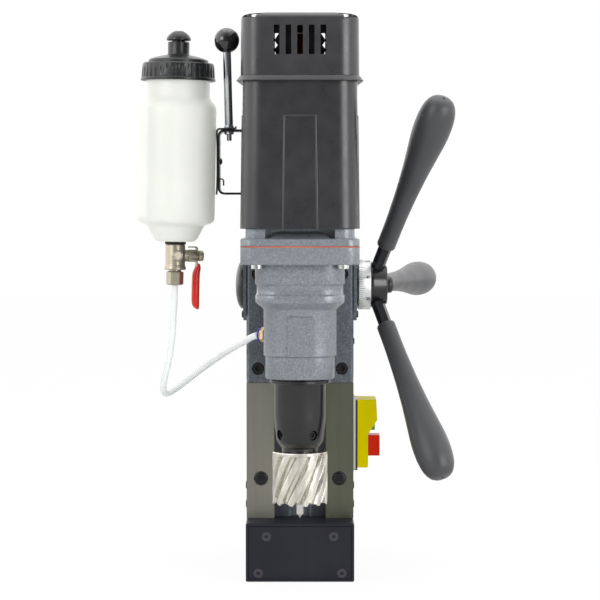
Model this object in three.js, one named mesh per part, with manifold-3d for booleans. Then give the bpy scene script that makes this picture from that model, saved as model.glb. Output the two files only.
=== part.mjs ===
// Magnetic core drill: an electromagnet base, a stand with dovetail guide rails, a motor and gearbox
// carriage fed by a rack and pinion, a hollow cutter in its arbor, and a coolant bottle with its tap.
// Millimetres, +Z up, the front towards -Y. The origin is the centre of the magnet's bottom face.

import * as THREE from "three";
import { mergeVertices } from "three/addons/utils/BufferGeometryUtils.js";
import Module from "manifold-3d";

const wasm = await Module();
wasm.setup();

// Fits and facets
const seat = 0.3;
const slip = 0.3;
const bearingSlip = 0.6;
const overrun = 5;
const roundSides = 16;
const smallSides = 8;
const wideSides = 18;
const gripSides = 12;
const arcSegments = 2;
const ringArcSteps = 3;

// Magnet
const magnetWidth = 100;
const magnetLength = 200;
const magnetHeight = 54;
const magnetCorner = 1.5;
const poleWall = 11;
const coilGroove = 16;
const coilDepth = 34;
const coilRecess = 0.6;
const plateMargin = 3;
const plateThickness = 2.4;
const plateProud = 0.6;

// Guide rails and the dovetail between them
const railSetback = 35;
const railLength = 127;
const railInnerHalf = 24;
const dovetailDepth = 12;
const dovetailAngle = Math.PI / 6;
const railScrewHead = 6.25;
const railScrewDepth = 1.6;
const railScrewRise = 37.5;
const railScrewHalf = 36.5;

// Stand housing
const housingHalf = 50;
const housingHeight = 149;
const housingProud = 1;
const housingBack = 62;
const housingShoulderBack = 18;
const housingShoulderDrop = 52;
const housingEdge = 2.5;
const housingScrewDepth = 3;
const housingScrewHalf = 39;
const housingScrewRise = 13.5;
const housingScrewPitch = 88.5;

// Rear cover, handle and cable gland
const coverHalf = 42;
const coverBottom = 70;
const coverHeight = 175;
const coverDepth = 16;
const coverCorner = 9;
const coverEdge = 3;
const handleHalf = 48;
const handleRise = 52;
const handleLeg = 16;
const handleBar = 14;
const handleDepth = 22;
const handleCorner = 22;
const handleEdge = 3;
const handleY = -16;
const moduleHalf = 36;
const moduleHeight = 155;
const moduleDepth = 58;
const moduleCorner = 3;
const glandRadius = 11;
const glandLength = 17;
const glandHole = 4.5;
const glandStepShare = 0.82;
const glandTipShare = 0.7;
const glandRise = 22;
const glandAside = 22;

// Rack and pinion
const toothPitch = 5;
const pinionTeeth = 14;
const toothModule = toothPitch / Math.PI;
const pinionPitchRadius = toothModule * pinionTeeth / 2;
const toothRootFactorShare = 1.25;
const rackToothShares = [0.3, 0.11];
const pinionHalf = 8;
const rackHalf = 7.5;
const rackBody = 8.5;
const rackBelowShaft = 38;
const shaftBelowTop = 58;
const shaftFromRail = 25;
const pocketClearance = 1.5;

// Capstan shaft, its bearing flanges and the dial
const shaftRadius = 8;
const shaftEndRadius = 5;
const flangeBore = 13.2;
const flangeWidth = 50;
const flangeHeight = 66;
const flangeThickness = 3;
const flangeCorner = 9;
const spigotLength = 38;
const capRadius = 22.5;
const capDome = 7.5;
const capHollow = 4;
const capBoreSlip = 0.9;
const capDomeShares = [[1, 0.35], [0.86, 0.72], [0.45, 0.95], [0, 1]];
const shaftOverhang = 3;
const indexRadius = 23;
const indexThickness = 1.3;
const dialGap = 0.7;
const dialRadius = 23.3;
const dialWidth = 11.4;
const hubWidth = 15.6;
const hubRadiusInner = 21.5;
const hubRadiusOuter = 17.5;
const hubSleeve = 16;
const hubEdge = 0.8;
const hubShoulderShare = 0.2;
const nutRadius = 7.5;
const nutLength = 5.6;
const nutWasherRadius = 9;
const nutWasher = 0.8;
const shaftInNutShare = 0.6;
const nutCrownShares = [[1, 0], [1, 0.4], [0.8, 0.8], [0.4, 1]];

// Capstan handles
const handleCount = 3;
const handleTilt = 17.5 * Math.PI / 180;
const handleRootX = 66.7;
const rodAcrossFlats = 11;
const rodStart = 20.8;
const rodEnd = 92;
const studRadius = 4;
const studStart = 12.5;
const spotRadius = 7.6;
const gripStart = 44.5;
const gripProfile = [
  [7.9, 0], [8.6, 1.2], [8.8, 28], [10.2, 60], [12.5, 86], [15.5, 112],
  [17, 128], [16.6, 143], [13.4, 155], [7.6, 161],
];
const gripTipRise = 0.7;

// Switch on the stand's right side
const switchRise = 43.9;
const switchHeight = 66.4;
const switchDepth = 44;
const switchY = -34;
const switchPlate = 1;
const switchWall = 2.4;
const switchTop = 17.6;
const switchCrest = 18.7;
const switchCrestDrop = 19.1;
const switchStepDrop = 32.7;
const switchStep = 11;
const switchCorner = 2;
const buttonSize = 19.5;
const buttonDepthWide = 24;
const buttonTravel = 4;
const stopProud = 11.2;
const stopRise = 12.5;
const startProud = 6.6;
const startHeight = 6;
const startRise = 36.9;

// Carriage: the slide and the gearbox, from the gearbox's foot upwards
const spindleReach = 70;
const gearboxLift = 137.4;
const slideHalf = 30;
const slideAboveShaft = 140;
const slidePadGap = 1.2;
const padOverlap = 0.5;
const footHeight = 20.6;
const footHalf = 31.1;
const footCorner = 23.5;
const barrelHeight = 42;
const barrelHalf = 32.7;
const barrelCorner = 24;
const coneHeight = 7.3;
const ringHeight = 5.5;
const ringHalf = 39.8;
const ringCorner = 22;
const neckHeight = 9.6;
const neckHalf = 38.75;
const neckCorner = 21;
const bowlHeight = 18.3;
const bowlHalf = 40;
const bowlCorner = 20;
const gearboxFlangeHeight = 15.3;
const gearboxFlangeHalf = 52.7;
const gearboxFlangeCorner = 12;
const gasketThickness = 1;
const coverFlangeHeight = 6.4;
const coverBlockHeight = 8.9;
const coverBlockHalf = 48.2;
const coverBlockCorner = 11;
const frontPadWidth = 23;
const frontPadHeight = 36;
const frontPadProud = 0.8;
const sidePadWidth = 30;
const sidePadProud = 2.3;
const sidePadFootProud = 0.45;
const exhaustHalf = 30.75;
const exhaustHeight = 8.4;
const exhaustReach = 14;
const exhaustEndShare = 0.33;

// Gear train
const gearModule = 1.25;
const motorPinionTeeth = 8;
const layGearTeeth = 34;
const layPinionTeeth = 10;
const spindleGearTeeth = 32;
const gearFace = 11;
const gearGap = 5;
const layshaftRadius = 4;
const journal = 7;
const chamberWall = 3.2;

// Spindle, arbor, cutter and pilot pin
const spindleRadius = 12.5;
const spindleNose = 22;
const spindleBore = 5.2;
const spindleBoreDepth = 36;
const arborGap = 0.9;
const arborCollarRadius = 27.5;
const arborCollar = 3.5;
const arborRadius = 23.65;
const arborStraight = 31;
const arborTaper = 21;
const arborTaperRadius = 21.3;
const arborChamfer = 6.4;
const arborChamferRadius = 17.6;
const arborGroove = 3.1;
const arborGrooveRadius = 16.5;
const setScrewDrop = 46.1;
const setScrewRadius = 4.2;
const setScrewSink = 5.2;
const cutterRadius = 25;
const cutterLength = 47.5;
const cutterRim = 2.6;
const cutterWall = 4.6;
const cutterRoof = 8.5;
const fluteCount = 12;
const fluteDepthShare = 0.125;
const fluteHelix = 28 * Math.PI / 180;
const fluteLayers = 4;
const fluteSectionShares = [[0, 0, 0.5], [0.5, 0, 0], [0.58, 1, 1], [0.92, 1, 1.2]];
const cutterToothStep = 2.6;
const shankRadius = 9.5;
const shankLength = 31;
const pinRadius = 3.175;
const pinPoint = 3.2;
const pinProud = 13.4;
const pinHeadRadius = 4.6;
const pinHead = 3.4;

// Motor
const motorFootHalf = 52.9;
const motorTopHalf = 50.5;
const motorHeight = 130.5;
const motorCorner = 18;
const motorBore = 43.5;
const motorFloor = 5;
const sidePlateHeight = 100;
const sidePlateWidth = 62;
const sidePlateProud = 0.7;
const motorPanelFoot = 31;
const motorPanelTop = 28;
const motorPanelProud = 1.2;
const lipHeight = 4.2;
const lipHalf = 55.8;
const capHeight = 56;
const capHalf = 52.3;
const capWall = 4;
const capRoof = 5;
const capCrown = 1.6;
const capPocketHalf = 38;
const capPocketRadius = 8;
const capPocketDepth = 5;
const slotCount = 5;
const slotPitch = 10.2;
const slotWidth = 5.2;
const slotDrop = 12.3;
const slotHeight = 25.7;

// Motor's working parts
const statorInner = 25.6;
const statorFoot = 24;
const statorHeight = 86;
const armatureRadius = 24.6;
const armatureFoot = 32;
const armatureHeight = 70;
const armatureSlots = 12;
const armatureSlotShare = 0.24;
const armatureSectionShares = [[0, -0.4], [0, 0.4], [1, 0.4], [1, 0.6]];
const commutatorRadius = 13.5;
const commutatorHeight = 20;
const commutatorLift = 8;
const motorShaftRadius = 4;
const motorShaftTop = 40;
const bearingBoss = 9;
const fanRadius = 40;
const fanHeight = 14;
const fanDisc = 2;
const fanBlades = 9;
const fanBlade = 2;
const fanHub = 9;
const brushWidth = 12;
const brushInner = 14.2;

// Bottle, its cap and its spout
const bottleFromSpindle = 35;
const bottleLean = 1.1 * Math.PI / 180;
const bottleTurn = 20 * Math.PI / 180;
const bottleFoot = -12.6;
const bottleHalf = 32.7;
const bottleCorner = 21.8;
const bottleWall = 1.6;
const bottleConeRadius = 17;
const bottleConeTopRadius = 27.5;
const bottleCone = 15.6;
const bottleStep = 4.5;
const bottleBody = 104;
const bottleShoulder = 9;
const bottleNeckRadius = 29.2;
const bottleNeck = 27.6;
const bottleStepShares = [0.25, 0.8, 0.75];
const bottleShoulderShares = [0.5, 0.35, 0.72];
const bottleCollarShares = [0.85, 0.2, 0.95];
const fullRoundShare = 0.999;
const capRingFoot = 34.2;
const capRingTop = 32.6;
const capRingHeight = 16.5;
const capRoomSlip = 0.6;
const capRibs = 24;
const capRibShares = [[0, 0], [0.45, 0], [0.72, 1]];
const capRibDepth = 0.9;
const capHem = 2.4;
const capDiscRadius = 27.4;
const capDiscHeight = 7;
const capDiscEdgeShare = 0.7;
const spoutNeckRadius = 9.9;
const spoutNeckHeight = 12;
const spoutTravel = 6;
const spoutKnobRadius = 11.2;
const spoutKnobHeight = 9;
const spoutGap = 1.2;
const spoutKnobShares = [[1, 0], [1, 0.3], [0.82, 0.7], [0.5, 1], [0, 1]];

// Tap, compression nut and tube
const tapTurn = 18 * Math.PI / 180;
const tapRadius = 9.1;
const tapHeight = 25.5;
const tapRim = 3.2;
const tapNeckShare = 1.4;
const tapRimRadius = 9.9;
const tapBossRadius = 4.6;
const tapBossProud = 1.4;
const stemRise = 12.8;
const stemRadius = 5.6;
const stemReach = 19.3;
const stemPinRadius = 2.6;
const leverPlate = 1.6;
const leverWidth = 7.5;
const leverDrop = 6;
const leverLength = 43;
const leverThick = 4.8;
const leverEdge = 0.5;
const leverShares = [
  [0, 0], [0.45, 0], [0.75, 0.14], [0.5, 0.27], [0.5, 0.9],
  [0.45, 1], [0.2, 1], [-0.5, 0.88], [-0.5, 0.27], [-0.25, 0.14],
];
const leverKnobRadius = 4.4;
const leverKnob = 5.2;
const pinInKnobShare = 0.6;
const nutAcross = 13.7;
const nutTurn = 5 * Math.PI / 180;
const nutBoreShare = 0.67;
const nutHeight = 14;
const nutSpigotRadius = 5.6;
const nutSpigot = 1.4;
const tubeRadius = 3;
const tubeSides = 8;
const tubeSteps = 26;
const tubeRoute = [
  [-114.71, -100, 277.6], [-114.9, -100, 268], [-115.1, -100, 260], [-116, -99.8, 247.3], [-117, -99.2, 230.8],
  [-118.9, -98.2, 215], [-121.7, -95.6, 200.8], [-124.8, -90.4, 188.2], [-126.6, -81.8, 178.2],
  [-126, -70.6, 172.2],
  [-122.4, -58.8, 171.4], [-116.4, -49.2, 174.6], [-108.4, -43.2, 180.4], [-98.8, -41.6, 187.8],
  [-88.4, -44.6, 195.8], [-77.8, -52.2, 203.6], [-67.6, -64.2, 210.8], [-58.4, -79, 217], [-50.4, -94, 222],
  [-44, -107.2, 226.4], [-38, -117.2, 229.2],
];
const fittingAcross = 12;
const fittingLength = 3.4;
const fittingAngle = 25 * Math.PI / 180;
const fittingFoot = 34.6;
const fittingRise = 38;
const colletRadius = 7;
const colletLength = 2.6;

// Bottle bracket and the ball-ended rod
const strapThickness = 2;
const strapPlate = 1.4;
const strapWidth = 26;
const strapFromRod = 8.2;
const strapFootRise = 30.2;
const strapHeight = 59.1;
const strapTailRise = 2.6;
const strapTailReach = 6.5;
const hookWidth = 12;
const hookThickness = 1.2;
const hookRise = 15;
const hookReach = 3.4;
const hookDrop = 6.6;
const ballRodRadius = 3.8;
const ballRodForward = 6;
const ballRodTail = 10.3;
const ballStudRadius = 2.2;
const rodNutAcross = 8.4;
const rodNutHeight = 2.4;
const rodInBallShare = 0.4;
const ballRadius = 11.6;
const ballGap = 2.6;
const ballRise = 80.6;
const ballLean = 1.5 * Math.PI / 180;

// Places worked out from the driving sizes
const railFront = -magnetLength / 2 + railSetback;
const railTop = magnetHeight + railLength;
const columnFront = railFront + dovetailDepth;
const housingFront = railFront - housingProud;
const housingTop = railTop + housingHeight;
const dovetailSpread = dovetailDepth * Math.tan(dovetailAngle);
const shaftZ = housingTop - shaftBelowTop;
const shaftY = railFront + shaftFromRail;
const rackPitchY = shaftY - pinionPitchRadius;
const toothHeight = toothModule * (1 + toothRootFactorShare);
const pinionTip = pinionPitchRadius + toothModule;
const spindleY = railFront - spindleReach;
const gearboxFoot = magnetHeight + gearboxLift;
const barrelFoot = gearboxFoot + footHeight;
const coneFoot = barrelFoot + barrelHeight;
const ringFoot = coneFoot + coneHeight;
const neckFoot = ringFoot + ringHeight;
const bowlFoot = neckFoot + neckHeight;
const gearboxFlangeFoot = bowlFoot + bowlHeight;
const gearboxTop = gearboxFlangeFoot + gearboxFlangeHeight;
const gearboxCoverFoot = gearboxTop + gasketThickness;
const coverBlockFoot = gearboxCoverFoot + coverFlangeHeight;
const motorFoot = coverBlockFoot + coverBlockHeight;
const motorTop = motorFoot + motorHeight;
const capFoot = motorTop + lipHeight;
const capTop = capFoot + capHeight;
const gearboxBack = spindleY + gearboxFlangeHalf;
const shaftSpread = gearModule * (motorPinionTeeth + layGearTeeth) / 2;
const layshaftY = spindleY + shaftSpread;
const layGearTop = gearboxTop - gearGap;
const layGearFoot = layGearTop - gearFace;
const spindleGearTop = layGearFoot - gearGap;
const spindleGearFoot = spindleGearTop - gearFace;
const chamberFoot = spindleGearFoot - gearGap;
const bottleY = spindleY + bottleFromSpindle;
const bottleBottom = motorFoot + bottleFoot;
const slideFoot = gearboxFoot + footHeight / 2;
const strapFoot = motorFoot + strapFootRise;
const strapTop = strapFoot + strapHeight;
const bottleSpread = (bottleHalf - bottleCorner) * (Math.cos(bottleTurn) + Math.sin(bottleTurn)) + bottleCorner;
const ballX = -(capHalf + ballGap + ballRadius);
const ballRodX = ballX + Math.tan(ballLean) * ballRise;
const strapX = ballRodX - strapFromRod;
const strapBack = strapX - strapThickness - strapPlate;
const bottleX = strapBack - seat - bottleSpread - Math.tan(bottleLean) * (strapTop - bottleBottom);
const slideTop = shaftZ + slideAboveShaft;
const rackFoot = shaftZ - rackBelowShaft;

// Geometry helpers

function solidOf(geometry) {
  const bare = geometry.clone();
  for (const name of Object.keys(bare.attributes)) {
    if (name !== "position") bare.deleteAttribute(name);
  }
  const merged = mergeVertices(bare);
  const vertProperties = new Float32Array(merged.attributes.position.array);
  const triVerts = new Uint32Array(merged.index.array);
  return new wasm.Manifold(new wasm.Mesh({ numProp: 3, vertProperties, triVerts }));
}

function geometryOf(solid) {
  const mesh = solid.getMesh();
  const geometry = new THREE.BufferGeometry();
  geometry.setAttribute("position", new THREE.BufferAttribute(new Float32Array(mesh.vertProperties), 3));
  geometry.setIndex(new THREE.BufferAttribute(new Uint32Array(mesh.triVerts), 1));
  return geometry;
}

function cut(base, ...tools) {
  let solid = solidOf(base);
  for (const tool of tools) solid = solid.subtract(solidOf(tool));
  return geometryOf(solid);
}

function join(...pieces) {
  let solid = solidOf(pieces[0]);
  for (const piece of pieces.slice(1)) solid = solid.add(solidOf(piece));
  return geometryOf(solid);
}

function slab(x0, x1, y0, y1, z0, z1) {
  const box = new THREE.BoxGeometry(x1 - x0, y1 - y0, z1 - z0);
  return box.translate((x0 + x1) / 2, (y0 + y1) / 2, (z0 + z1) / 2);
}

function roundedShape(halfX, halfY, corner) {
  const shape = new THREE.Shape();
  shape.moveTo(halfX - corner, -halfY);
  shape.absarc(halfX - corner, corner - halfY, corner, -Math.PI / 2, 0);
  shape.absarc(halfX - corner, halfY - corner, corner, 0, Math.PI / 2);
  shape.absarc(corner - halfX, halfY - corner, corner, Math.PI / 2, Math.PI);
  shape.absarc(corner - halfX, corner - halfY, corner, Math.PI, 3 * Math.PI / 2);
  return shape;
}

function polygonShape(points) {
  return new THREE.Shape(points.map(([x, y]) => new THREE.Vector2(x, y)));
}

// An outline in XY, raised along +Z from z = 0, with its end edges rounded over by edge
function raise(shape, height, edge = 0, curveSegments = arcSegments) {
  const rounded = edge > 0;
  const geometry = new THREE.ExtrudeGeometry(shape, {
    depth: height - 2 * edge,
    bevelEnabled: rounded,
    bevelThickness: edge,
    bevelSize: edge,
    bevelOffset: -edge,
    bevelSegments: 1,
    curveSegments,
  });
  return geometry.translate(0, 0, edge);
}

// The same outline raised along +X (its x runs along Y, its y along Z) or along +Y (x along X, y along Z)
function alongX(geometry) {
  return geometry.rotateX(Math.PI / 2).rotateZ(Math.PI / 2);
}

function alongY(geometry) {
  return geometry.rotateX(Math.PI / 2).scale(1, -1, 1);
}

function flipped(geometry) {
  const index = geometry.index ? Array.from(geometry.index.array) : null;
  const count = geometry.attributes.position.count;
  const order = index ?? Array.from({ length: count }, (_, i) => i);
  for (let i = 0; i < order.length; i += 3) [order[i], order[i + 1]] = [order[i + 1], order[i]];
  geometry.setIndex(order);
  return geometry;
}

// A profile of [radius, height] pairs turned about Z
function spin(profile, sides = roundSides) {
  const points = profile.map(([radius, height]) => new THREE.Vector2(radius, height));
  return new THREE.LatheGeometry(points, sides).rotateX(Math.PI / 2);
}

function drum(radius, z0, z1, sides = roundSides) {
  return spin([[0, z0], [radius, z0], [radius, z1], [0, z1]], sides);
}

function pipe(inner, outer, z0, z1, sides = roundSides) {
  return spin([[inner, z0], [outer, z0], [outer, z1], [inner, z1], [inner, z0]], sides);
}

// Rings of equal point counts joined into one closed skin, with a fan of triangles over each end
function loft(rings) {
  const positions = [];
  const faces = [];
  const count = rings[0].length;
  for (const ring of rings) {
    for (const point of ring) positions.push(...point);
  }
  const corner = (ring, i) => ring * count + (i % count);
  for (let ring = 0; ring + 1 < rings.length; ring += 1) {
    for (let i = 0; i < count; i += 1) {
      faces.push(corner(ring, i), corner(ring, i + 1), corner(ring + 1, i + 1));
      faces.push(corner(ring, i), corner(ring + 1, i + 1), corner(ring + 1, i));
    }
  }
  for (const [ring, turn] of [[0, 1], [rings.length - 1, 0]]) {
    const middle = [0, 1, 2].map((k) => rings[ring].reduce((sum, point) => sum + point[k], 0) / count);
    const hub = positions.length / 3;
    positions.push(...middle);
    for (let i = 0; i < count; i += 1) {
      const edge = [corner(ring, i), corner(ring, i + 1)];
      faces.push(hub, edge[turn], edge[1 - turn]);
    }
  }
  const geometry = new THREE.BufferGeometry();
  geometry.setAttribute("position", new THREE.BufferAttribute(new Float32Array(positions), 3));
  geometry.setIndex(faces);
  return geometry;
}

// One ring of a rounded square about Z, with the same number of points whatever its corner
function squareRing(half, corner, z, arcSteps = ringArcSteps) {
  const ring = [];
  for (let quarter = 0; quarter < 4; quarter += 1) {
    const start = quarter * Math.PI / 2;
    const centre = start + Math.PI / 4;
    const reach = (half - corner) * Math.SQRT2;
    for (let step = 0; step <= arcSteps; step += 1) {
      const angle = start + step / arcSteps * Math.PI / 2;
      const x = reach * Math.cos(centre) + corner * Math.cos(angle);
      const y = reach * Math.sin(centre) + corner * Math.sin(angle);
      ring.push([x, y, z]);
    }
  }
  return ring;
}

// A stack of rounded squares, each level [height, half width, corner radius]
function squareStack(levels) {
  return loft(levels.map(([z, half, corner]) => squareRing(half, corner, z)));
}

// Straight-sided gear teeth, thinned for backlash, as a closed outline
function gearShape(teeth, module) {
  const pitchRadius = teeth * module / 2;
  const root = pitchRadius - toothRootFactorShare * module;
  const tip = pitchRadius + module;
  const points = [];
  for (let tooth = 0; tooth < teeth; tooth += 1) {
    const middle = tooth * 2 * Math.PI / teeth;
    const step = 2 * Math.PI / teeth;
    const [rootShare, tipShare] = rackToothShares;
    for (const [radius, share] of [[root, -rootShare], [tip, -tipShare], [tip, tipShare], [root, rootShare]]) {
      const angle = middle + share * step;
      points.push([radius * Math.cos(angle), radius * Math.sin(angle)]);
    }
  }
  return polygonShape(points);
}

// The turn that puts a gap between two teeth towards -Y, where the meshing gear or rack has a tooth
function gapTowardsFront(teeth) {
  return Math.PI / teeth - Math.PI / 2;
}

function hexShape(acrossFlats) {
  const radius = acrossFlats / 2 / Math.cos(Math.PI / 6);
  const points = [0, 1, 2, 3, 4, 5].map((i) => [
    radius * Math.cos(i * Math.PI / 3),
    radius * Math.sin(i * Math.PI / 3),
  ]);
  return polygonShape(points);
}

// Scene graph helpers
const drill = new THREE.Group();
const carriage = new THREE.Group();
const capstan = new THREE.Group();
const bottleSet = new THREE.Group();
const tapSet = new THREE.Group();
drill.add(carriage, capstan);
carriage.add(bottleSet);
capstan.position.set(0, shaftY, shaftZ);
bottleSet.position.set(bottleX, bottleY, bottleBottom);
bottleSet.rotation.y = bottleLean;
bottleSet.add(tapSet);
tapSet.rotation.z = tapTurn;

function add(parent, name, geometry, color, roughness, metalness) {
  const mesh = new THREE.Mesh(geometry, new THREE.MeshStandardMaterial({ color, roughness, metalness }));
  mesh.name = name;
  parent.add(mesh);
  return mesh;
}

const magnetBlack = [0x2e2f37, 0.55, 0.4];
const hammerDark = [0x697078, 0.5, 0.3];
const hammerLight = [0x99a1aa, 0.5, 0.3];
const railOlive = [0x77736a, 0.45, 0.8];
const plasticDark = [0x3f3f42, 0.6, 0];
const plasticBlack = [0x1d1d20, 0.5, 0];
const steelBlack = [0x2a2a2d, 0.4, 0.7];
const steelBright = [0xc4c1ba, 0.25, 1];
const steelGear = [0x8d8f92, 0.4, 0.9];
const chromeBright = [0xd0d2d5, 0.12, 1];
const brassNickel = [0x9c9686, 0.35, 0.9];
const bottleWhite = [0xeceeea, 0.4, 0];
const redVinyl = [0xc8231a, 0.35, 0];
const yellowPlastic = [0xe0cd00, 0.4, 0];
const greenPlastic = [0x2f9a3c, 0.4, 0];
const redPlastic = [0xd8341f, 0.4, 0];
const gasketRed = [0xb84c30, 0.8, 0];
const bluePlastic = [0x2b2cb8, 0.35, 0];
const copperRed = [0x9a5a32, 0.5, 0.6];
const gripGrey = [0x4b4d50, 0.65, 0];

// Magnet: the steel body with its ring groove, the potted coil in it and the front plate
function magnetBody() {
  const outline = roundedShape(magnetWidth / 2, magnetHeight / 2, magnetCorner);
  const body = alongY(raise(outline, magnetLength)).translate(0, -magnetLength / 2, magnetHeight / 2);
  const recess = slab(
    plateMargin - magnetWidth / 2 - seat, magnetWidth / 2 - plateMargin + seat,
    -magnetLength / 2 - overrun, -magnetLength / 2 + plateThickness - plateProud,
    plateMargin - seat, magnetHeight - plateMargin + seat,
  );
  return cut(flipped(body), recess, coilRing(0, coilDepth, -overrun));
}

function coilRing(inset, top, bottom) {
  const half = magnetWidth / 2 - poleWall - inset;
  const reach = magnetLength / 2 - poleWall - inset;
  const ring = roundedShape(half, reach, coilGroove);
  const inner = roundedShape(
    half - coilGroove + 2 * inset, reach - coilGroove + 2 * inset, coilGroove / 2,
  );
  ring.holes.push(new THREE.Path(inner.getPoints(arcSegments)));
  return raise(ring, top - bottom).translate(0, 0, bottom);
}

function magnetPlate() {
  const width = magnetWidth - 2 * plateMargin;
  const height = magnetHeight - 2 * plateMargin;
  const plate = alongY(raise(roundedShape(width / 2, height / 2, magnetCorner), plateThickness));
  return flipped(plate).translate(0, -magnetLength / 2 - plateProud, magnetHeight / 2);
}

// Stand: the casting, with the dovetail, the rack slot, the pinion pocket and the shaft bore cut into it
function standHousing() {
  const profile = new THREE.Shape();
  profile.moveTo(columnFront, magnetHeight);
  profile.lineTo(housingBack, magnetHeight);
  profile.lineTo(housingBack, housingTop - housingShoulderDrop);
  profile.quadraticCurveTo(housingBack, housingTop, housingShoulderBack, housingTop);
  profile.lineTo(housingFront, housingTop);
  profile.lineTo(housingFront, railTop + seat);
  profile.lineTo(columnFront, railTop + seat);
  const body = alongX(raise(profile, 2 * housingHalf, housingEdge)).translate(-housingHalf, 0, 0);
  const screwHoles = [];
  for (const side of [-1, 1]) {
    for (const rise of [housingScrewRise, housingScrewRise + housingScrewPitch]) {
      const hole = drum(railScrewHead, 0, housingScrewDepth + overrun, smallSides).rotateX(-Math.PI / 2);
      screwHoles.push(hole.translate(side * housingScrewHalf, housingFront - overrun, railTop + rise));
    }
  }
  const groove = raise(dovetailShape(0, housingFront - overrun), housingHeight + 2 * overrun);
  const slot = slab(
    -rackHalf - pocketClearance, rackHalf + pocketClearance,
    columnFront - overrun, rackPitchY + toothModule + pocketClearance,
    magnetHeight - overrun, housingTop + overrun,
  );
  const pocket = drum(pinionTip + pocketClearance, -pinionHalf - pocketClearance, pinionHalf + pocketClearance)
    .rotateY(Math.PI / 2).translate(0, shaftY, shaftZ);
  const bore = drum(flangeBore + seat, -housingHalf - overrun, housingHalf + overrun)
    .rotateY(Math.PI / 2).translate(0, shaftY, shaftZ);
  const room = moduleBlock(seat, overrun);
  return cut(body, groove.translate(0, 0, railTop - overrun), slot, pocket, bore, room, ...screwHoles);
}

// The potted power module that feeds the magnet, in its pocket behind the rear cover
function moduleBlock(clearance, beyond) {
  const outline = roundedShape(moduleHalf + clearance, moduleHeight / 2 + clearance, moduleCorner);
  const block = flipped(alongY(raise(outline, moduleDepth + clearance + beyond)));
  return block.translate(0, housingBack - moduleDepth - clearance, coverBottom + coverHeight / 2);
}

// The dovetail groove seen from above, or the slide that fills it when inset by a clearance
function dovetailShape(inset, frontY) {
  const slant = inset / Math.cos(dovetailAngle);
  const halfFront = railInnerHalf - slant;
  const backY = columnFront - inset;
  const halfBack = railInnerHalf + (dovetailDepth - inset) * Math.tan(dovetailAngle) - slant;
  return polygonShape([
    [-halfFront, frontY], [halfFront, frontY], [halfFront, railFront],
    [halfBack, backY], [-halfBack, backY], [-halfFront, railFront],
  ]);
}

function guideRail(side) {
  const outline = polygonShape([
    [railInnerHalf, railFront], [housingHalf, railFront],
    [housingHalf, columnFront], [railInnerHalf + dovetailSpread, columnFront],
  ]);
  let rail = raise(outline, railLength).translate(0, 0, magnetHeight);
  const head = drum(railScrewHead, 0, railScrewDepth + overrun, smallSides).rotateX(-Math.PI / 2);
  head.translate(railScrewHalf, railFront - overrun, magnetHeight + railScrewRise);
  rail = cut(rail, head);
  return side > 0 ? rail : flipped(rail.scale(-1, 1, 1));
}

function rearCover() {
  const outline = roundedShape(coverHalf, coverHeight / 2, coverCorner);
  const cover = flipped(alongY(raise(outline, coverDepth, coverEdge)));
  return cover.translate(0, housingBack, coverBottom + coverHeight / 2);
}

// A bow across the top of the housing, with a gap for the hand under its bar
function carryHandle() {
  const outer = roundedShape(handleHalf, handleRise, handleCorner);
  const inner = roundedShape(handleHalf - handleLeg, handleRise - handleBar, handleCorner - handleBar);
  outer.holes.push(new THREE.Path(inner.getPoints(arcSegments)));
  const bow = flipped(alongY(raise(outer, handleDepth, handleEdge)));
  bow.translate(0, handleY, housingTop);
  const below = slab(
    -handleHalf - overrun, handleHalf + overrun, handleY - overrun, handleY + handleDepth + overrun,
    housingTop - handleRise - overrun, housingTop,
  );
  return cut(bow, below);
}

function cableGland() {
  const body = spin([
    [0, 0], [glandRadius, 0], [glandRadius, glandLength / 3], [glandRadius * glandStepShare, glandLength / 3],
    [glandRadius * glandTipShare, glandLength], [glandHole, glandLength], [glandHole, glandLength / 3],
    [0, glandLength / 3],
  ], smallSides);
  return body.rotateX(-Math.PI / 2).translate(-glandAside, housingBack + coverDepth, coverBottom + glandRise);
}

function bearingFlange(side) {
  const plate = raise(roundedShape(flangeWidth / 2, flangeHeight / 2, flangeCorner), flangeThickness);
  const spigot = drum(flangeBore, -spigotLength, flangeThickness / 2);
  const bore = drum(shaftRadius + slip, -spigotLength - overrun, flangeThickness + overrun);
  const flange = cut(join(plate, spigot), bore);
  return flange.rotateX(Math.PI / 2).rotateZ(side * Math.PI / 2).translate(side * housingHalf, shaftY, shaftZ);
}

function shaftEndCap() {
  const inner = shaftRadius + capBoreSlip;
  const dome = capDomeShares.map(([out, up]) => [capRadius * out, capDome * up]);
  const cap = spin([[0, capHollow], [inner, capHollow], [inner, 0], [capRadius, 0], ...dome]);
  return cap.rotateY(-Math.PI / 2).translate(-housingHalf - flangeThickness, shaftY, shaftZ);
}

function indexRing() {
  const ring = pipe(shaftRadius + 2 * slip, indexRadius, 0, indexThickness);
  return ring.rotateY(Math.PI / 2).translate(housingHalf + flangeThickness, shaftY, shaftZ);
}

// Capstan: everything here is about its own axis, with Z along the shaft towards the handles
const dialFoot = housingHalf + flangeThickness + indexThickness + dialGap;
const hubFoot = dialFoot + dialWidth;
const hubTop = hubFoot + hubWidth;
const shaftTop = hubTop + nutWasher + nutLength * shaftInNutShare;

function pinionShaft() {
  const step = hubFoot + overrun / 2;
  const shaft = spin([
    [0, -housingHalf - shaftOverhang], [shaftRadius, -housingHalf - shaftOverhang], [shaftRadius, step],
    [shaftEndRadius, step], [shaftEndRadius, shaftTop], [0, shaftTop],
  ], smallSides);
  const teeth = raise(gearShape(pinionTeeth, toothModule), 2 * pinionHalf).translate(0, 0, -pinionHalf);
  return join(shaft, teeth.rotateZ(gapTowardsFront(pinionTeeth)));
}

function depthDial() {
  return pipe(hubSleeve + slip, dialRadius, dialFoot, hubFoot);
}

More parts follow.
